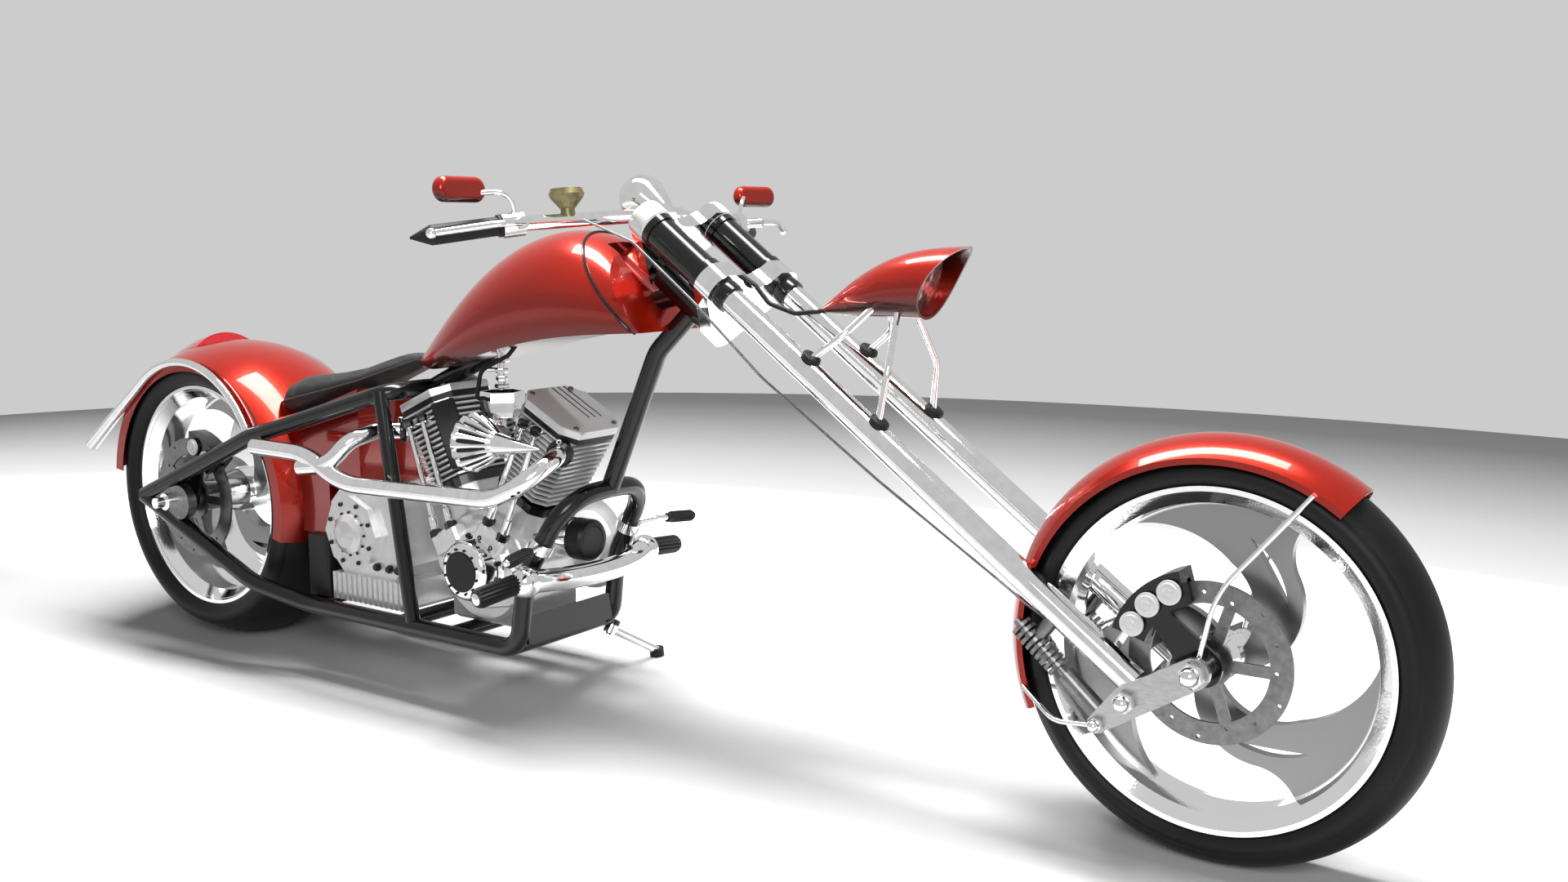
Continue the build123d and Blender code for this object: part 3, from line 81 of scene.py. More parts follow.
# Sockets of a colour Mix node, which share their names with those of its other data types
MIX_PART = 0
MIX_FIRST = 6
MIX_SECOND = 7
MIX_COLOUR = 2
# A normal's height at which the painted shade makes paint fully dark, and at which it has its own colour
PAINTED_SHADE_LOW = -0.45
PAINTED_SHADE_HIGH = 0.3


class Finish:
    """A procedural material: one Principled shader and the textures that feed it."""

    def __init__(self, name, **sockets):
        self.material = bpy.data.materials.new(name)
        self.material.use_nodes = True
        self.tree = self.material.node_tree
        self.shader = self.tree.nodes["Principled BSDF"]
        for socket, value in sockets.items():
            self.shader.inputs[socket.replace("_", " ")].default_value = value

    def node(self, kind, inputs, **settings):
        made = self.tree.nodes.new(kind)
        for key, value in settings.items():
            setattr(made, key, value)
        for socket, value in inputs.items():
            if isinstance(value, bpy.types.NodeSocket):
                self.tree.links.new(value, made.inputs[socket])
            else:
                made.inputs[socket].default_value = value
        return made

    def spot(self):
        return self.node("ShaderNodeTexCoord", {}).outputs["Object"]

    def coords(self, stretch=NO_STRETCH):
        return self.node("ShaderNodeMapping", {"Vector": self.spot(), "Scale": stretch}).outputs["Vector"]

    def vector(self, operation, *inputs):
        made = self.node("ShaderNodeVectorMath", dict(enumerate(inputs)), operation=operation)
        return made.outputs["Value" if operation == "LENGTH" else "Vector"]

    def noise(self, scale, detail, stretch=NO_STRETCH):
        inputs = {"Vector": self.coords(stretch), "Scale": scale, "Detail": detail}
        return self.node("ShaderNodeTexNoise", inputs).outputs["Fac"]

    def cells(self, scale):
        inputs = {"Vector": self.coords(), "Scale": scale}
        return self.node("ShaderNodeTexVoronoi", inputs).outputs["Distance"]

    def ramp(self, factor, *stops):
        """Colours at places along a factor, blended between."""
        made = self.node("ShaderNodeValToRGB", {"Fac": factor})
        points = made.color_ramp.elements
        while len(points) < len(stops):
            points.new(1.0)
        for point, (at, colour) in zip(points, stops):
            point.position = at
            point.color = (*colour, 1.0)
        return made.outputs["Color"]

    def span(self, factor, low, high, start=0.0, end=1.0):
        """A factor between start and end, spread from low to high."""
        inputs = {"Value": factor, "From Min": start, "From Max": end, "To Min": low, "To Max": high}
        return self.node("ShaderNodeMapRange", inputs).outputs["Result"]

    def mixed(self, part, first, second):
        inputs = {MIX_PART: part, MIX_FIRST: (*first, 1.0), MIX_SECOND: second}
        return self.node("ShaderNodeMix", inputs, data_type="RGBA").outputs[MIX_COLOUR]

    def shaded_underside(self, colour, dark):
        """The colour, with painted shade that darkens it towards the underside."""
        normal = self.node("ShaderNodeNewGeometry", {}).outputs["Normal"]
        up = self.node("ShaderNodeSeparateXYZ", {0: normal}).outputs["Z"]
        return self.mixed(self.span(up, 0.0, 1.0, PAINTED_SHADE_LOW, PAINTED_SHADE_HIGH), dark, colour)

    def feed(self, socket, output):
        self.tree.links.new(output, self.shader.inputs[socket])
        return self

    def bump(self, height, depth_mm):
        inputs = {"Height": height, "Distance": depth_mm * MM, "Strength": 1.0}
        return self.feed("Normal", self.node("ShaderNodeBump", inputs).outputs["Normal"])


def grey(level):
    return (level, level, level)


def metal(name, low, high, rough_low, rough_high, scale=60.0, stretch=NO_STRETCH):
    """Bare or plated metal with slight clouding and polishing marks."""
    finish = Finish(name, Metallic=1.0)
    marks = finish.noise(scale, 4.0, stretch)
    finish.feed("Base Color", finish.ramp(marks, (0.3, grey(low)), (0.7, grey(high))))
    return finish.feed("Roughness", finish.span(marks, rough_low, rough_high))


def bright(name):
    """Polished and lacquered light alloy, nearly white under the lamps."""
    finish = Finish(name, Metallic=0.18, Coat_Weight=0.4, Coat_Roughness=0.04)
    marks = finish.noise(90.0, 4.0)
    finish.feed("Base Color", finish.ramp(marks, (0.3, grey(0.88)), (0.7, grey(0.95))))
    return finish.feed("Roughness", finish.span(marks, 0.12, 0.22))


def coated(name, shade, light, rough, flake_scale, coat, underside_shade=None, **sockets):
    """Paint, lacquer or enamel under a clear coat, with colour flecks and painted shade on what faces down."""
    finish = Finish(name, Coat_Weight=coat, Coat_Roughness=0.02, **sockets)
    flakes = finish.noise(flake_scale, 2.0)
    colour = finish.ramp(flakes, (0.35, shade), (0.65, light))
    # Painted shade: the colour darkens on what faces down
    if underside_shade:
        colour = finish.shaded_underside(colour, underside_shade)
    finish.feed("Base Color", colour)
    wave = finish.noise(14.0, 1.0)
    return finish.feed("Roughness", finish.span(wave, 0.95 * rough, 1.05 * rough))


def rubbery(name, shade, light, rough, grain, depth_mm):
    """Rubber or plastic with a fine grain and a little dust."""
    finish = Finish(name, Specular_IOR_Level=0.25)
    dust = finish.noise(9.0, 5.0)
    finish.feed("Base Color", finish.ramp(dust, (0.35, grey(shade)), (0.7, grey(light))))
    finish.feed("Roughness", finish.span(dust, 0.85 * rough, 1.1 * rough))
    return finish.bump(finish.noise(grain, 4.0), depth_mm)


def leather():
    """Black hide with pores and creases."""
    finish = Finish("leather", Sheen_Weight=0.12, Sheen_Roughness=0.4)
    pores = finish.cells(520.0)
    creases = finish.noise(38.0, 6.0, (1.0, 1.6, 1.0))
    finish.feed("Base Color", finish.ramp(creases, (0.3, grey(0.006)), (0.75, grey(0.022))))
    finish.feed("Roughness", finish.span(creases, 0.36, 0.58))
    both = finish.node("ShaderNodeMath", {0: pores, 1: creases}, operation="ADD").outputs["Value"]
    return finish.bump(both, 0.9)


def brass(name):
    """Dull olive brass with darker handling marks."""
    finish = Finish(name, Metallic=0.7)
    marks = finish.noise(70.0, 4.0)
    finish.feed("Base Color", finish.ramp(marks, (0.3, (0.16, 0.14, 0.06)), (0.7, (0.30, 0.27, 0.13))))
    return finish.feed("Roughness", finish.span(marks, 0.3, 0.5))


def lamp_red():
    """A moulded red lens."""
    finish = Finish("lens_red", Coat_Weight=1.0, Coat_Roughness=0.03)
    prisms = finish.cells(150.0)
    finish.feed("Base Color", finish.ramp(prisms, (0.0, (0.62, 0.0, 0.004)), (0.9, (0.36, 0.0, 0.003))))
    finish.feed("Roughness", finish.span(prisms, 0.10, 0.2))
    return finish.bump(prisms, 0.4)


def lamp_clear():
    """A clear lens over its faceted reflector."""
    finish = Finish("lens_clear", Metallic=0.6, Coat_Weight=1.0, Coat_Roughness=0.04)
    facets = finish.cells(70.0)
    finish.feed("Base Color", finish.ramp(facets, (0.0, grey(0.16)), (0.8, grey(0.5))))
    finish.feed("Roughness", finish.span(facets, 0.12, 0.3))
    return finish.bump(facets, 2.0)


RED = ((0.40, 0.009, 0.001), (0.54, 0.018, 0.003))
DARK_RED = ((0.28, 0.012, 0.006), (0.34, 0.018, 0.009))
# Painted shade: the colour the paint darkens to on what faces down
PAINTED_SHADE_RED = (0.055, 0.005, 0.003)
FLAKE_SCALE = 900.0
CANDY = {"Metallic": 0.55, "Specular_IOR_Level": 0.25}
# One finish for each material slot of the record
FINISHES = {
    "paint": coated("paint", *RED, 0.24, FLAKE_SCALE, 0.5, PAINTED_SHADE_RED, **CANDY),
    "dark_paint": coated("dark_paint", *DARK_RED, 0.22, FLAKE_SCALE, 1.0, **CANDY),
    "frame_black": coated("frame_black", grey(0.003), grey(0.006), 0.2, 600.0, 0.3, Specular_IOR_Level=0.3),
    "chrome": metal("chrome", 0.80, 0.90, 0.03, 0.08),
    "alloy": bright("alloy"),
    "satin_steel": metal("satin_steel", 0.36, 0.46, 0.22, 0.36, 70.0, (1.0, 1.0, 4.0)),
    "dark_steel": metal("dark_steel", 0.15, 0.24, 0.25, 0.42, 80.0),
    "tyre": rubbery("tyre", 0.003, 0.009, 0.5, 420.0, 0.3),
    "rubber": rubbery("rubber", 0.006, 0.014, 0.5, 500.0, 0.25),
    "leather": leather(),
    "lens_red": lamp_red(),
    "lens_clear": lamp_clear(),
    "black_plastic": rubbery("black_plastic", 0.008, 0.018, 0.38, 700.0, 0.15),
}


def dress(obj, finish):
    obj.data.materials.clear()
    obj.data.materials.append(finish.material)


def dress_nodes():
    for row in frame["record"]["subparts"]:
        dress(frame["nodes"][row["node"]], FINISHES[row["material_slot"]])
    dress(frame["nodes"]["fluid_reservoir"], brass("reservoir_brass"))


# Stage: a white floor, with painted shade near the wall, in a round grey wall, in metres

FLOOR_REACH = 14.0
FLOOR_STEPS = 96
WALL_CENTRE = (0.41, -6.11)
WALL_RADIUS = 9.06
WALL_HEIGHT = 2.4
WALL_STEPS = 192
BACKDROP_GREY = 0.604
# Painted shade darkens the floor over a ring round this middle, near the wall
POOL_CENTRE = (0.3, -6.9, 0.0)
POOL_FROM = 7.2
POOL_TO = 10.0
FLOOR_WHITE = 0.94
FLOOR_DARK = 0.02
# Places across the ring, and the floor's level at each, falling towards the wall as painted shade
FLOOR_WALL_SHADE = (
    (0.36, 0.92), (0.44, 0.92), (0.50, 0.81), (0.57, 0.70), (0.64, 0.56),
    (0.71, 0.44), (0.79, 0.31), (0.87, 0.20), (1.0, 0.17),
)
# Lamps alone light the floor as far as the bike's shadow reaches, and beyond the second distance it is pale
SHADOW_REACH = 2.3
PALE_REACH = 4.4
# What the floor throws back on the bike
BOUNCE = 0.38


def floor_finish():
    """White round the bike, with its shadow, and darker near the wall with painted shade, where it shows a level
    of its own.
    """
    finish = Finish("studio_floor", Roughness=0.9, Specular_IOR_Level=0.0)
    spot = finish.spot()
    reach = finish.vector("LENGTH", finish.vector("SUBTRACT", spot, POOL_CENTRE))
    part = finish.span(reach, 0.0, 1.0, POOL_FROM, POOL_TO)
    lit_to, dark_from = FLOOR_WALL_SHADE[0][0], FLOOR_WALL_SHADE[1][0]
    # Painted shade: over the ring the floor's colour and its glow both fall towards the wall
    tone = finish.ramp(part, (lit_to, grey(FLOOR_WHITE)), (dark_from, grey(FLOOR_DARK)))
    edge = finish.ramp(part, *[(at, grey(level)) for at, level in FLOOR_WALL_SHADE])
    rise = finish.ramp(part, (0.0, grey(0.0)), (lit_to, grey(1.0)))
    beyond = finish.span(finish.vector("LENGTH", spot), 0.0, 1.0, SHADOW_REACH, PALE_REACH)
    pale = finish.node("ShaderNodeMath", {0: beyond, 1: rise}, operation="MAXIMUM").outputs["Value"]
    finish.feed("Emission Color", finish.mixed(pale, grey(0.0), edge))
    path = finish.node("ShaderNodeLightPath", {}).outputs
    rays = {0: path["Is Camera Ray"], 1: path["Is Glossy Ray"]}
    shown = finish.node("ShaderNodeMath", rays, operation="ADD").outputs["Value"]
    finish.feed("Emission Strength", shown)
    return finish.feed("Base Color", finish.mixed(shown, grey(BOUNCE), tone))


def wall_finish():
    """Plain grey from the front, and clear from behind so that it never hides the bike."""
    finish = Finish("studio_wall")
    finish.tree.nodes.remove(finish.shader)
    glow = finish.node("ShaderNodeEmission", {"Color": (*grey(BACKDROP_GREY), 1.0)}).outputs["Emission"]
    clear = finish.node("ShaderNodeBsdfTransparent", {}).outputs["BSDF"]
    back = finish.node("ShaderNodeNewGeometry", {}).outputs["Backfacing"]
    mixed = finish.node("ShaderNodeMixShader", {0: back, 1: glow, 2: clear}).outputs["Shader"]
    finish.tree.links.new(mixed, finish.tree.nodes["Material Output"].inputs["Surface"])
    return finish


def mesh_object(name, bm):
    mesh = bpy.data.meshes.new(name)
    bm.to_mesh(mesh)
    bm.free()
    obj = bpy.data.objects.new(name, mesh)
    bpy.context.scene.collection.objects.link(obj)
    return obj


def build_stage():
    bm = bmesh.new()
    bmesh.ops.create_circle(bm, cap_ends=True, segments=FLOOR_STEPS, radius=FLOOR_REACH)
    floor = mesh_object("studio_floor", bm)
    dress(floor, floor_finish())

    bm = bmesh.new()
    for level in (0.0, WALL_HEIGHT):
        for step in range(WALL_STEPS + 1):
            turn = math.tau * step / WALL_STEPS
            x = WALL_CENTRE[0] + WALL_RADIUS * math.cos(turn)
            y = WALL_CENTRE[1] + WALL_RADIUS * math.sin(turn)
            bm.verts.new((x, y, level))
    bm.verts.ensure_lookup_table()
    row = WALL_STEPS + 1
    for step in range(WALL_STEPS):
        bm.faces.new([bm.verts[at] for at in (row + step, row + step + 1, step + 1, step)])
    wall = mesh_object("studio_wall", bm)
    dress(wall, wall_finish())
    wall.visible_diffuse = False
    wall.visible_shadow = False


# Light: the world is dim for the bike's shading and as pale as the wall for all else

FILL_LEVEL = 0.05
SKY_LEVEL = 0.62
# Name, place, aim, length, width and power in watts
LAMPS = (
    ("overhead", (0.1, 0.35, 3.3), (0.1, 0.12, 0.3), 3.2, 0.8, 205.0),
    ("front_fill", (2.6, -3.0, 2.4), (0.2, 0.0, 0.5), 1.6, 1.6, 60.0),
)


def build_world():
    world = bpy.data.worlds.new("studio")
    bpy.context.scene.world = world
    world.use_nodes = True
    nodes, links = world.node_tree.nodes, world.node_tree.links
    background = nodes["Background"]
    background.inputs["Color"].default_value = (*grey(1.0), 1.0)
    path = nodes.new("ShaderNodeLightPath")
    strength = nodes.new("ShaderNodeMapRange")
    strength.inputs["To Min"].default_value = SKY_LEVEL
    strength.inputs["To Max"].default_value = FILL_LEVEL
    links.new(path.outputs["Is Diffuse Ray"], strength.inputs["Value"])
    links.new(strength.outputs["Result"], background.inputs["Strength"])


def build_lights():
    for name, at, target, width, height, power in LAMPS:
        light = bpy.data.lights.new(name, "AREA")
        light.shape = "RECTANGLE"
        light.size = width
        light.size_y = height
        light.energy = power
        lamp = bpy.data.objects.new(name, light)
        bpy.context.scene.collection.objects.link(lamp)
        lamp.location = at
        lamp.rotation_euler = (Vector(target) - Vector(at)).to_track_quat("-Z", "Y").to_euler()


# Camera, fitted to the photo on the upright bike, in millimetres

CAMERA_AT = Vector((3126.6, -2175.1, 980.9))
CAMERA_LOOK = Vector((-0.56502, 0.81248, -0.14364))
CAMERA_UP = Vector((-0.07812, 0.12063, 0.98962))
LENS = 33.69
SENSOR = 36.0


def build_camera():
    data = bpy.data.cameras.new("camera")
    data.sensor_width = SENSOR
    data.lens = LENS
    camera = bpy.data.objects.new("camera", data)
    bpy.context.scene.collection.objects.link(camera)
    turn = BIKE.to_3x3()
    back = -(turn @ CAMERA_LOOK).normalized()
    up = (turn @ CAMERA_UP).normalized()
    right = up.cross(back).normalized()
    pose = Matrix((right, back.cross(right), back)).transposed().to_4x4()
    pose.translation = BIKE @ CAMERA_AT
    camera.matrix_world = pose
    bpy.context.scene.camera = camera


# Wheels: polished ring and hub, satin blades

WHEEL_REACH = 0.3
# Node, joint, inner radius of the polished ring and radius of the polished hub
RIMS = (("front_rim", "front_wheel_spin", 237.0, 38.0), ("rear_rim", "rear_wheel_spin", 231.0, 54.0))
# Colour and roughness of each
POLISHED = (0.93, 0.07)
SATIN = (0.27, 0.3)
RIM_BLEND = 0.01


def rim_finish(name, wheel_joint, ring_mm, hub_mm):
    """Satin blades between a polished ring and hub, told apart by their distance from the axle."""
    row = joint(wheel_joint)
    finish = Finish(name, Metallic=1.0)
    out = finish.vector("SUBTRACT", finish.spot(), row["pos_m"])
    reach = finish.vector("LENGTH", finish.vector("CROSS_PRODUCT", out, row["axis"]))
    part = finish.span(reach, 0.0, 1.0, 0.0, WHEEL_REACH)
    hub, ring = hub_mm * MM / WHEEL_REACH, ring_mm * MM / WHEEL_REACH
    for socket, polished, satin in zip(("Base Color", "Roughness"), POLISHED, SATIN):
        blades = ((hub + RIM_BLEND, grey(satin)), (ring - RIM_BLEND, grey(satin)))
        finish.feed(socket, finish.ramp(part, (hub, grey(polished)), *blades, (ring, grey(polished))))
    return finish.bump(finish.noise(240.0, 4.0), 0.08)


def dress_rims():
    for node, spin, ring_mm, hub_mm in RIMS:
        dress(frame["nodes"][node], rim_finish(node, spin, ring_mm, hub_mm))


# Mesh tools, in bike millimetres

LEFT = Vector((0, 1, 0))
RIGHT = -LEFT
UP = Vector((0, 0, 1))
AHEAD = Vector((1, 0, 0))
# Radius that closes a turned end
TIP = 0.05
SHARP_ANGLE = math.radians(35)
# The most of a straight run that one bend takes up
BEND_SHARE = 0.48


def loops(bm, rings, closed=False):
    """Faces between rings of points, capped at both ends unless they close on themselves."""
    made = [[bm.verts.new(point) for point in ring] for ring in rings]
    bands = list(zip(made, made[1:]))
    if closed:
        bands.append((made[-1], made[0]))
    for low, high in bands:
        for at in range(len(low)):
            after = (at + 1) % len(low)
            bm.faces.new((low[at], low[after], high[after], high[at]))
    if not closed:
        bm.faces.new(list(reversed(made[0])))
        bm.faces.new(made[-1])


def across(axis):
    """An axis and two directions square to it."""
    axis = Vector(axis).normalized()
    side = axis.orthogonal().normalized()
    return axis, side, axis.cross(side)


def lathe(bm, outline, at, axis, steps=32, closed=False, flutes=0):
    """An outline of (radius, height, flute depth) turned about an axis."""
    axis, side, other = across(axis)
    rings = []
    for radius, height, *flute in outline:
        ring = []
        for step in range(steps):
            turn = math.tau * step / steps
            grow = 1 + flute[0] * math.cos(flutes * turn) if flute else 1
            out = (side * math.cos(turn) + other * math.sin(turn)) * radius * grow
            ring.append(Vector(at) + axis * height + out)
        rings.append(ring)
    loops(bm, rings, closed)


def octagon(long_half, wide_half, corner):
    points = [(long_half - corner, wide_half), (long_half, wide_half - corner)]
    points += [(x, -y) for x, y in reversed(points)]
    points += [(-x, y) for x, y in reversed(points)]
    return points


def prism(bm, rows, place):
    """Octagons of (height, half length, half width, corner), stacked in a place of their own."""
    rings = []
    for height, long_half, wide_half, corner in rows:
        rings.append([place @ Vector((x, y, height)) for x, y in octagon(long_half, wide_half, corner)])
    loops(bm, rings)


def slab(bm, place, size, edge):
    """A block with its edges cut off."""
    long_half, wide_half, height = size[0] / 2, size[1] / 2, size[2]
    rows = [
        (0, long_half - edge, wide_half - edge, edge), (edge, long_half, wide_half, edge),
        (height - edge, long_half, wide_half, edge), (height, long_half - edge, wide_half - edge, edge),
    ]
    prism(bm, rows, place)


def hull_ring(circles, y, shrink=0.0, steps=72):
    """The outline around (x, z, radius) circles, at one distance from the middle of the bike."""
    ring = []
    for step in range(steps):
        turn = math.tau * step / steps
        ray = Vector((math.cos(turn), 0, math.sin(turn)))
        spots = [Vector((x, y, z)) + ray * (radius - shrink) for x, z, radius in circles]
        ring.append(max(spots, key=lambda spot: spot.dot(ray)))
    return ring


def route(points, bends, steps=8):
    """A path through points, with each inner corner rounded."""
    points = [Vector(point) for point in points]
    path = [points[0]]
    for before, corner, after, bend in zip(points, points[1:], points[2:], bends):
        back, ahead = before - corner, after - corner
        half = back.angle(ahead) / 2
        reach = min(bend / math.tan(half), BEND_SHARE * back.length, BEND_SHARE * ahead.length)
        start, end = corner + back.normalized() * reach, corner + ahead.normalized() * reach
        for step in range(steps + 1):
            part = step / steps
            path.append(start.lerp(corner, part).lerp(corner.lerp(end, part), part))
    path.append(points[-1])
    return path


def sweep(bm, path, radii, steps=16):
    """A round tube along a path, with one radius or one for each point."""
    if not isinstance(radii, list):
        radii = [radii] * len(path)
    side = (path[1] - path[0]).orthogonal().normalized()
    rings = []
    for number, (point, radius) in enumerate(zip(path, radii)):
        ends = path[max(number - 1, 0)], path[min(number + 1, len(path) - 1)]
        along = (ends[1] - ends[0]).normalized()
        side = (side - along * side.dot(along)).normalized()
        other = along.cross(side)
        ring = []
        for step in range(steps):
            turn = math.tau * step / steps
            ring.append(point + (side * math.cos(turn) + other * math.sin(turn)) * radius)
        rings.append(ring)
    loops(bm, rings)


def bolt(bm, at, axis, radius, height):
    """A socket-head bolt."""
    outline = [
        (radius, 0), (radius, 0.8 * height), (0.86 * radius, height), (0.5 * radius, height),
        (0.5 * radius, 0.5 * height), (TIP, 0.5 * height),
    ]
    lathe(bm, outline, at, axis, 12)


def nut(bm, at, axis, radius, height):
    """A hexagon nut with a domed cap."""
    sides = [(0.9 * radius, 0), (radius, 1), (radius, 0.4 * height), (0.85 * radius, 0.48 * height)]
    lathe(bm, sides, at, axis, 6)
    dome = [
        (0.72 * radius, 0.44 * height), (0.7 * radius, 0.7 * height), (0.52 * radius, 0.9 * height),
        (0.2 * radius, height), (TIP, height),
    ]
    lathe(bm, dome, at, axis, 20)


def piece(name, body, slot, bm, replaces=()):
    """A piece of trim that rides on a body, wears a slot's finish and may stand in for a node."""
    bmesh.ops.recalc_face_normals(bm, faces=bm.faces[:])
    bm.transform(BIKE)
    obj = mesh_object(name, bm)
    obj.data.shade_smooth()
    obj.data.set_sharp_from_angle(angle=SHARP_ANGLE)
    dress(obj, FINISHES[slot])
    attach(obj, body)
    if replaces:
        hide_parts(*replaces)
    return obj


# Engine: heights on a cylinder are from the crank, along its lean

CRANK_X = 888.0
CRANK_Z = 239.0
FRONT_LEAN = 28.5
REAR_LEAN = -23.5
REAR_DROP = 10.0
FOOT = 222.0
FIN_LOW = 240.0
FIN_HIGH = 407.0
FINS = 14
FIN_GAP = 0.54
FIN_DEPTH = 11.0
FIN_TAPER = 10.0
BARREL_LONG = 76.0
BARREL_WIDE = 84.0
BARREL_CORNER = 22.0
FOOT_LONG = 66.0
FOOT_WIDE = 74.0
GASKET = 12.0
COVER = 17.0
COVER_LONG = 82.0
COVER_WIDE = 85.0
COVER_CORNER = 31.0
COVER_TOP = FIN_HIGH + GASKET + COVER
# Depth below the lid's top, and how far the lid draws in there
LID_STEPS = ((COVER, 0.0), (3, 0.0), (0.8, 1.2), (0, 3.5))
COVER_BOLT = (66, 56)
GROOVES = (11, 28, 46)
GROOVE_SIZE = (116, 3.4, 1.5)
# A black block over the front right corner of the rear cylinder's fins, which shows that corner dark and smooth
DARK_CORNER_PLACE = (66, -74, 0)
DARK_CORNER_ROWS = ((258, 23, 7, 3), (262, 25, 9, 3), (398, 25, 9, 3), (402, 23, 7, 3))


def cylinder_place(lean, drop):
    turn = math.radians(lean)
    axis = Vector((math.sin(turn), 0, math.cos(turn)))
    along = Vector((math.cos(turn), 0, -math.sin(turn)))
    place = Matrix((along, LEFT, axis)).transposed().to_4x4()
    place.translation = Vector((CRANK_X, 0, CRANK_Z)) - axis * drop
    return place


FRONT_CYLINDER = cylinder_place(FRONT_LEAN, 0.0)
REAR_CYLINDER = cylinder_place(REAR_LEAN, REAR_DROP)
CYLINDERS = (FRONT_CYLINDER, REAR_CYLINDER)


def fin_rows():
    """Octagons up a cylinder, wide at each fin and narrow between."""
    pitch = (FIN_HIGH - FIN_LOW) / FINS
    rows = []
    for number in range(FINS):
        low = FIN_LOW + number * pitch
        taper = FIN_TAPER * (1 - number / (FINS - 1))
        root = (BARREL_LONG - taper - FIN_DEPTH, BARREL_WIDE - taper - FIN_DEPTH, BARREL_CORNER - 6)
        edge = (BARREL_LONG - taper, BARREL_WIDE - taper, BARREL_CORNER)
        middle = low + FIN_GAP * pitch
        rows += [(low, *root), (middle, *root), (middle + 0.6, *edge), (low + pitch - 0.6, *edge)]
        rows.append((low + pitch, *root))
    return rows


def build_cylinders():
    fins, cores, feet, covers, gaskets, grooves, bolts, dark_corner = [bmesh.new() for _ in range(8)]
    depth = FIN_DEPTH - 2.5
    foot = (FOOT_LONG + 4, FOOT_WIDE + 4, BARREL_CORNER)
    inset = (COVER_LONG - 1.5, COVER_WIDE - 1.5, COVER_CORNER)
    core = []
    for level, cut in ((FIN_LOW - 1, FIN_TAPER + depth), (FIN_HIGH, depth)):
        core.append((level, BARREL_LONG - cut, BARREL_WIDE - cut, BARREL_CORNER - 5))
    lid = []
    for drop, cut in LID_STEPS:
        lid.append((COVER_TOP - drop, COVER_LONG - cut, COVER_WIDE - cut, COVER_CORNER))
    for place in CYLINDERS:
        prism(fins, fin_rows(), place)
        prism(cores, core, place)
        prism(feet, [(FOOT, *foot), (FIN_LOW + 1, *foot)], place)
        prism(gaskets, [(FIN_HIGH - 1, *inset), (FIN_HIGH + GASKET, *inset)], place)
        prism(covers, lid, place)
        for y in GROOVES:
            slab(grooves, place @ Matrix.Translation((-20, y, COVER_TOP - 1)), GROOVE_SIZE, 0.5)
        for along in (-COVER_BOLT[0], COVER_BOLT[0]):
            for y in (-COVER_BOLT[1], COVER_BOLT[1]):
                bolt(bolts, place @ Vector((along, y, COVER_TOP - 1)), place.to_3x3() @ UP, 6, 4)
    corner = Matrix.Translation(DARK_CORNER_PLACE) @ Matrix.Rotation(math.radians(45), 4, "Z")
    prism(dark_corner, DARK_CORNER_ROWS, REAR_CYLINDER @ corner)
    piece("cylinder_fins", "frame", "alloy", fins, ["cylinders"])
    piece("cylinder_cores", "frame", "black_plastic", cores)
    piece("cylinder_feet", "frame", "frame_black", feet)
    piece("rocker_lids", "frame", "alloy", covers, ["rocker_covers"])
    piece("rocker_gaskets", "frame", "black_plastic", gaskets)
    piece("rocker_grooves", "frame", "black_plastic", grooves)
    piece("rocker_bolts", "frame", "dark_steel", bolts)
    piece("cylinder_dark_corner", "frame", "black_plastic", dark_corner)


CASE_X = 913.0
CASE_Z = 290.0
CASE_R = 118.0
CASE_HALF = 92.0
GEAR_FACE = -122.0
CAM_X = 942.0
CAM_Z = 298.0
CAM_R = 75.0
SUMP_LOW = 163.0
SUMP_SIZE = (230, 148, 90)
GEAR_LOBES = ((CAM_X, CAM_Z, CAM_R + 12), (CAM_X + 66, CAM_Z - 34, 42), (CAM_X - 86, CAM_Z + 6, 44))
# Outward profile of the gear case: depth from its face and how far the outline draws in
GEAR_STEPS = ((34, 0), (4, 0), (0, 4))
CAM_OUTLINE = (
    (CAM_R, 0), (CAM_R, 8), (0.96 * CAM_R, 11), (0.85 * CAM_R, 13), (0.83 * CAM_R, 16),
    (0.83 * CAM_R, 40), (0.80 * CAM_R, 46), (0.74 * CAM_R, 51), (0.66 * CAM_R, 54), (TIP, 54),
)
CAM_CAP = ((42, 52), (42, 56), (39, 58.5), (TIP, 58.5))
# Rings of bolts: count, ring radius, height and bolt radius
CAM_BOLTS = ((12, 68, 11, 5.5), (12, 46.5, 53, 3))
# Foot and top of each pushrod tube
PUSH_RODS = (
    ((824, -130, 352), (715, -100, 572)), ((869, -130, 375), (759, -100, 587)),
    ((977, -130, 395), (1052, -100, 597)), ((1015, -130, 366), (1085, -100, 583)),
)


def around(middle, radius, turn, y):
    """A point on a ring across the bike, turned in radians from straight ahead."""
    return Vector((middle.x + radius * math.cos(turn), y, middle.z + radius * math.sin(turn)))


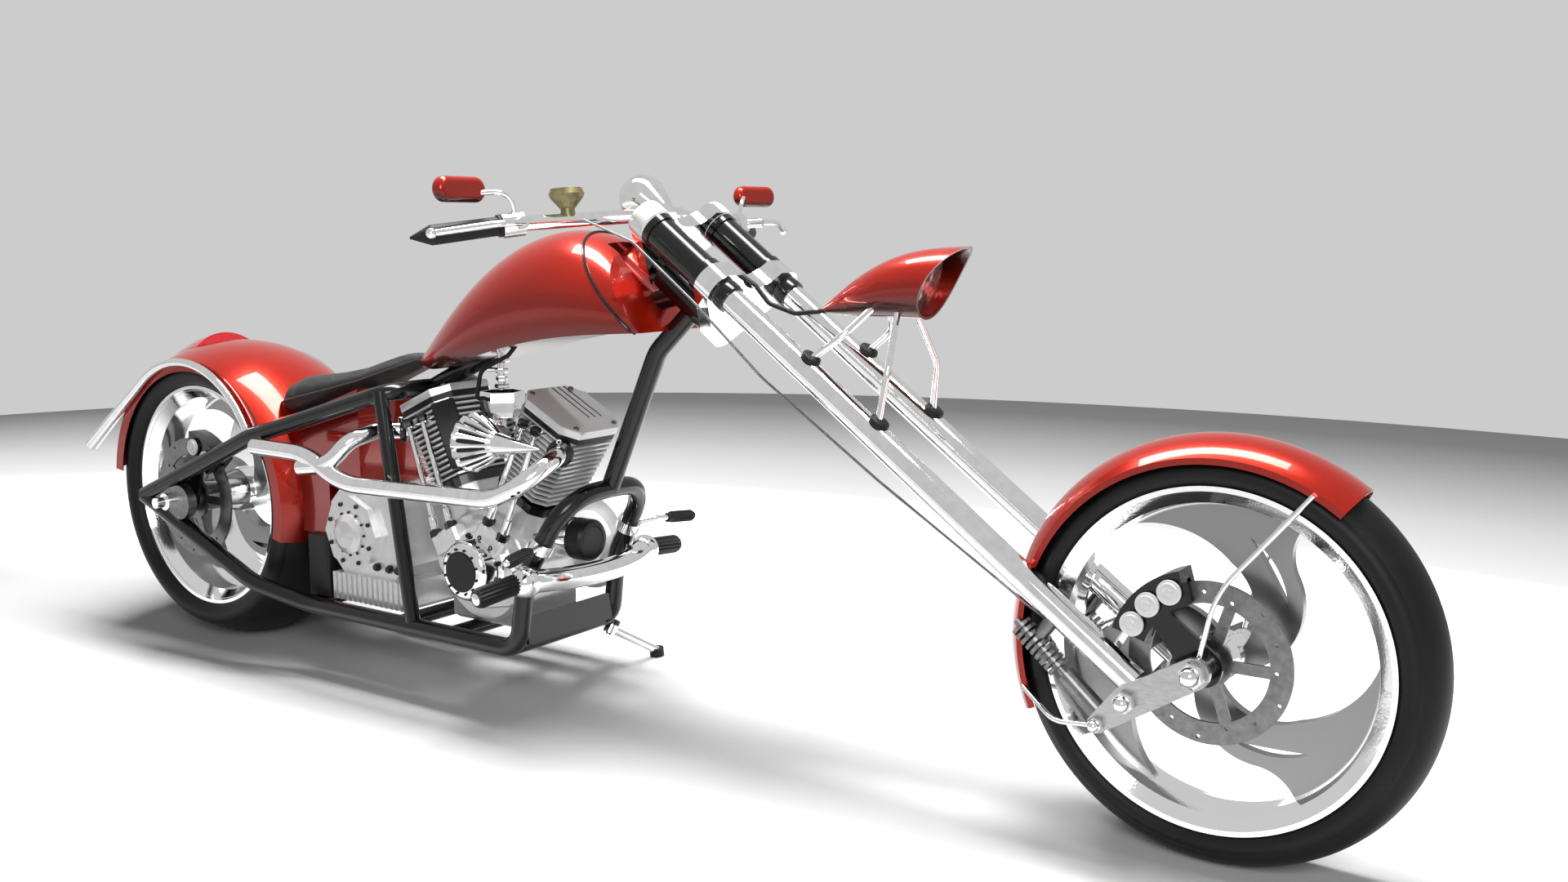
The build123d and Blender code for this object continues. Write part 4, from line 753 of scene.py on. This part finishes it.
def build_crankcase():
    case = bmesh.new()
    drum = [(CASE_R - 8, 0), (CASE_R, 8), (CASE_R, 2 * CASE_HALF - 8), (CASE_R - 8, 2 * CASE_HALF)]
    lathe(case, drum, (CASE_X, CASE_HALF, CASE_Z), RIGHT, 64)
    barrel = (FOOT_LONG, FOOT_WIDE, BARREL_CORNER)
    for place in CYLINDERS:
        prism(case, [(60, *barrel), (FOOT, *barrel)], place)
    slab(case, Matrix.Translation((CASE_X, 0, SUMP_LOW)), SUMP_SIZE, 8)
    loops(case, [hull_ring(GEAR_LOBES, GEAR_FACE + deep, cut) for deep, cut in GEAR_STEPS])
    for first, second in (PUSH_RODS[:2], PUSH_RODS[2:]):
        left, right = Vector(first[0]), Vector(second[0])
        along = (right - left).normalized()
        place = Matrix((along, LEFT, along.cross(LEFT))).transposed().to_4x4()
        place.translation = (left + right) / 2 + LEFT * 8 - along.cross(LEFT) * 46
        slab(case, place, (78, 34, 48), 5)
    piece("crankcase_body", "frame", "alloy", case, ["crankcase"])

    cover, cap, bolts = bmesh.new(), bmesh.new(), bmesh.new()
    middle = Vector((CAM_X, GEAR_FACE, CAM_Z))
    lathe(cover, CAM_OUTLINE, middle, RIGHT, 64)
    lathe(cap, CAM_CAP, middle, RIGHT, 48)
    for count, radius, level, size in CAM_BOLTS:
        for number in range(count):
            at = around(middle, radius, math.tau * (number + 0.5) / count, GEAR_FACE - level)
            bolt(bolts, at, RIGHT, size, 1.4 * size)
    piece("cam_housing", "frame", "chrome", cover, ["cam_cover"])
    piece("cam_cap", "frame", "black_plastic", cap)
    piece("cam_bolts", "frame", "frame_black", bolts)


def build_pushrods():
    tubes, nuts = bmesh.new(), bmesh.new()
    for foot, top in PUSH_RODS:
        foot, top = Vector(foot), Vector(top)
        along = (top - foot).normalized()
        path = [foot - along * 10, foot + along * 40, foot + along * 44, top]
        sweep(tubes, path, [9.0, 9.0, 6.0, 6.0], 20)
        sweep(tubes, [top - along * 4, top + LEFT * 34], 8.0, 20)
        lathe(nuts, [(13, 0), (13, 14), (11, 16), (7, 16)], foot - along * 4, along, 6)
        lathe(nuts, [(9, 0), (11, 3), (11, 15), (8, 18), (TIP, 18)], top - along * 6, along, 6)
    piece("pushrod_covers", "frame", "chrome", tubes, ["pushrod_tubes"])
    piece("pushrod_nuts", "frame", "frame_black", nuts)


AIR = Vector((963, -160, 563))
AIR_FLUTES = 16
# Radius, height and flute depth
AIR_OUTLINE = (
    (TIP, -15), (28, -13), (46, -6), (55, 4, 0.03), (57, 10, 0.06), (55, 20, 0.08), (40, 48, 0.08),
    (25, 76, 0.07), (23, 80), (22.5, 88), (12, 140), (1.6, 190), (TIP, 191),
)
# Radius, height and half width along each dark slot
AIR_SLOT = ((51, 15, 1.0), (49.4, 18, 5.6), (38, 46, 4.6), (26, 68, 3.0), (25, 70, 1.0))
CARB = Vector((938, -42, 0))
CARB_CUP = ((46, 612), (46, 650), (44.5, 652), (41, 652), (41, 630), (TIP, 630))
CARB_NECK = ((34, 596), (40, 600), (40, 612), (TIP, 613))
# Height and radius of the hexagons up the jet
CARB_HEXES = ((658, 15), (674, 12), (690, 14), (712, 18))
INTAKE_R = 27.0
FUEL_HOSE = ((924, -74, 640), (922, -98, 640), (930, -92, 698), (990, -72, 730), (1012, -62, 760))


def build_intake():
    cone, slots, cup, hose = [bmesh.new() for _ in range(4)]
    lathe(cone, AIR_OUTLINE, AIR, AHEAD, 8 * AIR_FLUTES, flutes=AIR_FLUTES)
    axis, side, other = across(AHEAD)
    for number in range(AIR_FLUTES):
        turn = math.tau * (number + 0.5) / AIR_FLUTES
        out = side * math.cos(turn) + other * math.sin(turn)
        path = [AIR + axis * height + out * radius for radius, height, _ in AIR_SLOT]
        sweep(slots, path, [half for _, _, half in AIR_SLOT], 12)

    def level(height):
        return CARB + UP * height

    lathe(cup, CARB_CUP, CARB, UP, 6)
    lathe(cup, CARB_NECK, CARB, UP, 6)
    sweep(cup, [level(560), level(600)], INTAKE_R, 32)
    sweep(cup, route([(938, 0, 566), (938, -160, 563), (966, -160, 563)], [30]), INTAKE_R, 32)
    sweep(cup, [Vector((838, 0, 566)), Vector((1000, 0, 566))], 22.0, 32)
    sweep(cup, [level(628), level(742)], 8.0, 20)
    for low, size in CARB_HEXES:
        lathe(cup, [(size - 2, 0), (size, 2), (size, 7), (size - 2, 9)], level(low), UP, 6)
    sweep(cup, [level(696) + Vector((-30, -8, 0)), level(696)], [5.0, 3.4], 12)
    sweep(hose, route(FUEL_HOSE, [14, 30, 24]), 4.5, 12)
    piece("air_cone", "frame", "chrome", cone, ["air_cleaner"])
    piece("air_slots", "frame", "black_plastic", slots)
    piece("carburettor_body", "frame", "chrome", cup, ["carburettor"])
    piece("fuel_hose", "frame", "rubber", hose)


PIPE_R = 18.5
PIPE_Y = -206.0
PIPE_WALL = 2.5
PORT = Vector((65, -73, 382))
# Where each pipe runs from its port, how round its corners are, and which side of its cylinder the port is
PIPES = (
    (FRONT_CYLINDER, 1, (60, 130, 240, 260, 220), (
        (1176, -148, 542), (1150, PIPE_Y, 500), (1070, PIPE_Y, 462), (622, PIPE_Y, 452), (512, PIPE_Y, 506),
        (330, PIPE_Y, 508),
    )),
    (REAR_CYLINDER, -1, (40, 60, 150), (
        (636, -114, 556), (616, -176, 540), (580, PIPE_Y, 488), (490, PIPE_Y, 476),
    )),
)


def build_exhausts():
    pipes, flanges, bolts = bmesh.new(), bmesh.new(), bmesh.new()
    for place, side, bends, points in PIPES:
        port = place @ Vector((PORT.x * side, PORT.y, PORT.z))
        out = (Vector(points[0]) - port).normalized()
        path = route([port - out * 6, *points], bends, 10)
        end = (path[-1] - path[-2]).normalized()
        path += [path[-1], path[-1] - end * 30]
        bore = PIPE_R - PIPE_WALL
        sweep(pipes, path, [PIPE_R] * (len(path) - 2) + [bore, bore], 32)
        lathe(flanges, [(25, 0), (27, 3), (27, 11), (24, 14), (PIPE_R, 14)], port, out, 28)
        bolt(bolts, port + out * 8 + UP * 24, out, 6, 10)
    piece("exhaust_pipes", "frame", "chrome", pipes, ["exhausts"])
    piece("exhaust_flanges", "frame", "frame_black", flanges)
    piece("exhaust_bolts", "frame", "chrome", bolts)


FILTER = Vector((1020, 0, 355))
FILTER_CAN = ((30, 0), (38, 4), (38, 30), (42, 34), (42, 78), (40, 80))
FILTER_END = ((41, 78), (43, 80), (43, 116), (38, 122), (30, 123), (28, 121), (TIP, 121))


def build_filter():
    can, end = bmesh.new(), bmesh.new()
    lathe(can, FILTER_CAN, FILTER, AHEAD, 48)
    lathe(end, FILTER_END, FILTER, AHEAD, 48)
    piece("filter_can", "frame", "chrome", can, ["oil_filter"])
    piece("filter_end", "frame", "black_plastic", end)


GEARBOX = Vector((530, -118, 319))
# Rings of bolts: count, first bolt as a part of the spacing, ring radius, bolt radius and height
GEARBOX_BOLTS = ((8, 0.5, 68, 5, 5), (12, 0.0, 48, 3, 4))
GEARBOX_PLUGS = (600, 640, 668)


def build_gearbox_trim():
    bolts, plugs = bmesh.new(), bmesh.new()
    for count, first, radius, size, height in GEARBOX_BOLTS:
        for number in range(count):
            at = around(GEARBOX, radius, math.tau * (number + first) / count, GEARBOX.y)
            bolt(bolts, at, RIGHT, size, height)
    for x in GEARBOX_PLUGS:
        lathe(plugs, [(9, 0), (9, 10), (7, 14), (TIP, 14)], (x, -98, 250), RIGHT, 6)
    piece("gearbox_bolts", "frame", "frame_black", bolts)
    piece("gearbox_plugs", "frame", "black_plastic", plugs)


# Front end, drawn in the steering's own frame

NECK = Vector((1458, 0, 813))
RAKE = math.radians(53.4)
FORK_AHEAD = Vector((math.cos(RAKE), 0, math.sin(RAKE)))
FORK_UP = Vector((-math.sin(RAKE), 0, math.cos(RAKE)))
FORK_OFFSET = 100.0
FORK_HALF = 94.0
FORK_R = 23.5
CLAMP = 38.0
SLEEVE_TOP = 149.0
FRONT_AXLE = BIKE.inverted() @ Vector(joint("front_wheel_spin")["pos_m"])
REAR_AXLE = BIKE.inverted() @ Vector(joint("rear_wheel_spin")["pos_m"])
PIVOT = FRONT_AXLE + Vector((-103, 0, -60))
SPRING_EYE = FRONT_AXLE + Vector((-148, 0, -104))
ROCKER_OUT = 126.0
HOOD = ((33, -2), (37, 2), (37, 28), (35, 36), (28, 41), (12, 43), (TIP, 43))
COLLAR = ((FORK_R, 0), (27, 1), (28, 4), (28, 22), (26.5, 26.5), (FORK_R, 26.5))
PAD = ((18, 0), (19, 3), (17, 9), (13, 11))
# Feet of the headlamp's legs on the fork, in x and z
LAMP_FEET = ((1730, 752), (1866, 650))
# Place, radius and height of each cap nut on the front rockers
ROCKER_NUTS = ((FRONT_AXLE, 21, 32), (PIVOT, 18, 28), (SPRING_EYE, 13, 22))


def steered(ahead, left, up):
    return NECK + FORK_AHEAD * ahead + LEFT * left + FORK_UP * up


def build_front_trim():
    collars, pads, nuts, hoods = [bmesh.new() for _ in range(4)]
    for side in (1, -1):
        leg = FORK_HALF * side
        lathe(hoods, HOOD, steered(FORK_OFFSET, leg, SLEEVE_TOP), FORK_UP, 40)
        lathe(collars, COLLAR, steered(FORK_OFFSET, leg, -CLAMP - 27), FORK_UP, 40)
        for x, z in LAMP_FEET:
            drop = (Vector((x, 0, z)) - NECK).dot(FORK_UP)
            lathe(pads, PAD, steered(FORK_OFFSET + FORK_R - 4, leg, drop), FORK_AHEAD, 28)
        for at, radius, height in ROCKER_NUTS:
            nut(nuts, Vector((at.x, ROCKER_OUT * side, at.z)), LEFT * side, radius, height)
    piece("clamp_hoods", "steering", "alloy", hoods)
    piece("fork_collars", "steering", "frame_black", collars)
    piece("lamp_pads", "steering", "rubber", pads)
    piece("rocker_nuts", "steering", "chrome", nuts)


LEAD_R = 4.5
LINE_R = 2.4


def build_lines():
    lead, line = bmesh.new(), bmesh.new()
    points = [
        steered(62, 0, -4), steered(70, 0, 30), (1516, 0, 898), (1552, 0, 878), (1582, 0, 846),
        (1640, 0, 829), (1708, 0, 836),
    ]
    sweep(lead, route(points, [12, 16, 24, 24, 40]), LEAD_R, 12)
    behind = FORK_OFFSET - FORK_R - 12
    points = [
        steered(60, -206, 244), steered(70, -140, 150), steered(66, -136, -30), steered(37, -106, -200),
        steered(44, -FORK_HALF, -480), steered(behind, 2 - FORK_HALF, -740),
        steered(behind, 10 - FORK_HALF, -800), steered(behind, 30 - FORK_HALF, -885),
        around(FRONT_AXLE, 142, math.radians(156), 32 - FORK_HALF),
    ]
    sweep(line, route(points, [40, 60, 90, 200, 60, 60, 24]), LINE_R, 12)
    piece("lamp_lead", "steering", "rubber", lead)
    piece("brake_line", "steering", "dark_steel", line)


PISTON = ((19.4, 0), (19, 2.5), (15, 3), (14.5, 5.5), (9.5, 6), (9, 4), (6.5, 4), (6, 7), (TIP, 7.5))
# Name, body, axle, ring radius, first degree, degrees in all, count and distance from the middle
CALIPERS = (
    ("front_caliper_covers", "steering", FRONT_AXLE, 121.0, 106.0, 58.0, 3, -93.0),
    ("rear_caliper_covers", "frame", REAR_AXLE, 134.0, 38.0, 44.0, 2, -171.0),
)


def build_caliper_covers():
    for name, body, axle, middle, start, arc, count, y in CALIPERS:
        bm = bmesh.new()
        for number in range(count):
            turn = math.radians(start + arc * (number + 0.5) / count)
            lathe(bm, PISTON, around(axle, middle, turn, y), RIGHT, 32)
        piece(name, body, "alloy", bm)


# Inner end, outer end and radius of each peg on the right
PEGS = (((1121, -190, 303), (1114, -296, 292), 17.0), ((1166, -214, 371), (1178, -276, 366), 10.0))
PEG_RIBS = 16
BALL_R = 32.0
BALL_STEPS = 14
BALL_AT = (1124, 178, 302)


def build_pegs():
    rubber, ends, balls = bmesh.new(), bmesh.new(), bmesh.new()
    turns = [math.pi * step / BALL_STEPS for step in range(1, BALL_STEPS)]
    ball = [(BALL_R * math.sin(turn), -BALL_R * math.cos(turn)) for turn in turns]
    for side in (1, -1):
        for start, end, radius in PEGS:
            start, end = [Vector((x, y * side, z)) for x, y, z in (start, end)]
            along = end - start
            outline = [
                (radius + 1.2, 2, 0.07), (radius + 1.6, 6, 0.09), (radius + 1.6, along.length - 5, 0.09),
                (radius - 2, along.length + 3, 0.05),
            ]
            lathe(rubber, outline, start, along, 6 * PEG_RIBS, flutes=PEG_RIBS)
            cap = [(0.7 * radius, -2), (0.7 * radius, 4), (0.5 * radius, 7), (TIP, 8)]
            lathe(ends, cap, end, along, 28)
        lathe(balls, ball, (BALL_AT[0], -BALL_AT[1] * side, BALL_AT[2]), LEFT, 36)
    piece("peg_rubbers", "frame", "rubber", rubber)
    piece("peg_ends", "frame", "chrome", ends)
    piece("bar_balls", "frame", "chrome", balls)


# Fender struts, flared at the tail

STRUT = Vector((-8, 0, 402))
STRUT_ARC = 272.0
STRUT_FROM = 23.0
STRUT_TO = 126.9
STRUT_STEPS = 40
STRUT_Y = 156.0
STRUT_R = 9.5
STRUT_TAIL = 296.0
TAIL_STEPS = 8
TAIL_FLARE = 0.8
TAIL_END = 11.0
STRUT_BOSS = ((12, -8), (15, -5), (15, 5), (12, 8))


def build_struts():
    bm = bmesh.new()
    turns = [STRUT_FROM + (STRUT_TO - STRUT_FROM) * step / STRUT_STEPS for step in range(STRUT_STEPS + 1)]
    tail = range(1, TAIL_STEPS + 1)
    radii = [STRUT_R] * len(turns) + [STRUT_R + TAIL_FLARE * step for step in tail] + [TAIL_END]
    for side in (1, -1):
        path = [around(STRUT, STRUT_ARC, math.radians(turn), STRUT_Y * side) for turn in turns]
        back = (path[-1] - path[-2]).normalized()
        path += [path[-1] + back * STRUT_TAIL * step / TAIL_STEPS for step in tail]
        path.append(path[-1] + back * 4)
        sweep(bm, path, radii, 24)
        lathe(bm, STRUT_BOSS, path[0], LEFT, 28)
    piece("strut_bars", "frame", "chrome", bm, ["fender_struts"])


# Tank line, laid on the tank's own skin

LINE_X = 1262.0
LINE_TILT = math.radians(43.0)
LINE_LEVEL = 884.0
# The first degree and the sweep, seen along the tank
LINE_FROM = -52.0
LINE_SWEEP = 284.0
LINE_STEPS = 60
LINE_OUT = 400.0
LINE_WIDTH = 3.2


def build_tank_line():
    tank = frame["nodes"]["fuel_tank"]
    skin = BVHTree.FromObject(tank, bpy.context.evaluated_depsgraph_get())
    to_tank = tank.matrix_world.inverted() @ BIKE
    slope = Vector((-math.tan(LINE_TILT), 0, 1)).normalized()
    centre = Vector((LINE_X, 0, LINE_LEVEL))
    path = []
    for step in range(LINE_STEPS + 1):
        turn = math.radians(LINE_FROM + LINE_SWEEP * step / LINE_STEPS)
        out = LEFT * math.cos(turn) + slope * math.sin(turn)
        start, end = to_tank @ (centre + out * LINE_OUT), to_tank @ centre
        hit = skin.ray_cast(start, (end - start).normalized())[0]
        if hit is not None:
            path.append(to_tank.inverted() @ hit + out * 0.6)
    bm = bmesh.new()
    sweep(bm, path, LINE_WIDTH, 10)
    piece("tank_line", "frame", "frame_black", bm)


# Seat: padded leather, blown up a little and held

# Sections along the seat: x, lowest, highest and half width
SEAT_ROWS = (
    (268, 560, 622, 86), (300, 562, 645, 104), (345, 572, 655, 110), (400, 590, 660, 106),
    (460, 610, 668, 94), (520, 630, 680, 74), (585, 654, 702, 53), (640, 674, 718, 40), (676, 688, 726, 30),
)
SEAT_STEPS = 40
# Below 1, a section's corners fill out
SEAT_SQUARE = 0.72
SEAT_DIP = 5.0
SEAT_GRID = 5.0
PAD_CAP = 7.0
PAD_SHRINK = 4.0
PAD_PRESSURE = 4.0
PAD_FRAMES = 20
PIPING_R = 3.0
PIPING_LEVEL = 0.42


def seat_ring(x, low, high, half):
    """A flat-bottomed section with a crowned top and a shallow hollow along its middle."""
    ring = []
    for step in range(SEAT_STEPS):
        turn = math.tau * step / SEAT_STEPS
        y, z = math.cos(turn), math.sin(turn)
        y = math.copysign(abs(y) ** SEAT_SQUARE, y) * (half - PAD_SHRINK)
        z = math.copysign(abs(z) ** SEAT_SQUARE, z)
        middle = (low + high) / 2
        dip = SEAT_DIP * max(z, 0.0) * math.cos(min(abs(y) / half, 1.0) * math.pi / 2) ** 2
        ring.append(Vector((x, y, middle + z * ((high - low) / 2 - PAD_SHRINK) - dip)))
    return ring


def blow_up(pad):
    """Swell the pad as cloth under pressure, then hold each point near where it began."""
    start = [vertex.co.copy() for vertex in pad.data.vertices]
    cloth = pad.modifiers.new("cloth", "CLOTH")
    cloth.settings.use_pressure = True
    cloth.settings.uniform_pressure_force = PAD_PRESSURE
    cloth.settings.effector_weights.gravity = 0.0
    scene = bpy.context.scene
    for number in range(1, PAD_FRAMES + 1):
        scene.frame_set(number)
    shape = pad.evaluated_get(bpy.context.evaluated_depsgraph_get()).to_mesh()
    swollen = [vertex.co.copy() for vertex in shape.vertices]
    pad.modifiers.remove(cloth)
    scene.frame_set(1)
    for vertex, before, after in zip(pad.data.vertices, start, swollen):
        move = after - before
        move.length = min(move.length, PAD_CAP * MM)
        vertex.co = before + move


def build_seat():
    bm = bmesh.new()
    loops(bm, [seat_ring(*row) for row in SEAT_ROWS])
    pad = piece("seat_pad", "frame", "leather", bm, ["seat"])
    remesh = pad.modifiers.new("remesh", "REMESH")
    remesh.mode = "VOXEL"
    remesh.voxel_size = SEAT_GRID * MM
    shape = bpy.data.meshes.new_from_object(pad.evaluated_get(bpy.context.evaluated_depsgraph_get()))
    pad.modifiers.remove(remesh)
    pad.data = shape
    dress(pad, FINISHES["leather"])
    blow_up(pad)
    pad.data.shade_smooth()
    soft = pad.modifiers.new("soft", "SUBSURF")
    soft.levels = 1
    soft.render_levels = 1
    piping = bmesh.new()
    for side in (1, -1):
        path = []
        for x, low, high, half in SEAT_ROWS:
            path.append((x, side * (half - 1.0), low + PIPING_LEVEL * (high - low)))
        sweep(piping, route(path, [400] * len(path), 4), PIPING_R, 10)
    piece("seat_piping", "frame", "leather", piping)


dress_nodes()
dress_rims()
build_cylinders()
build_crankcase()
build_pushrods()
build_intake()
build_exhausts()
build_filter()
build_gearbox_trim()
build_front_trim()
build_lines()
build_caliper_covers()
build_pegs()
build_struts()
build_tank_line()
build_seat()
build_stage()
build_world()
build_lights()
build_camera()
bpy.context.scene.view_settings.view_transform = "Standard"
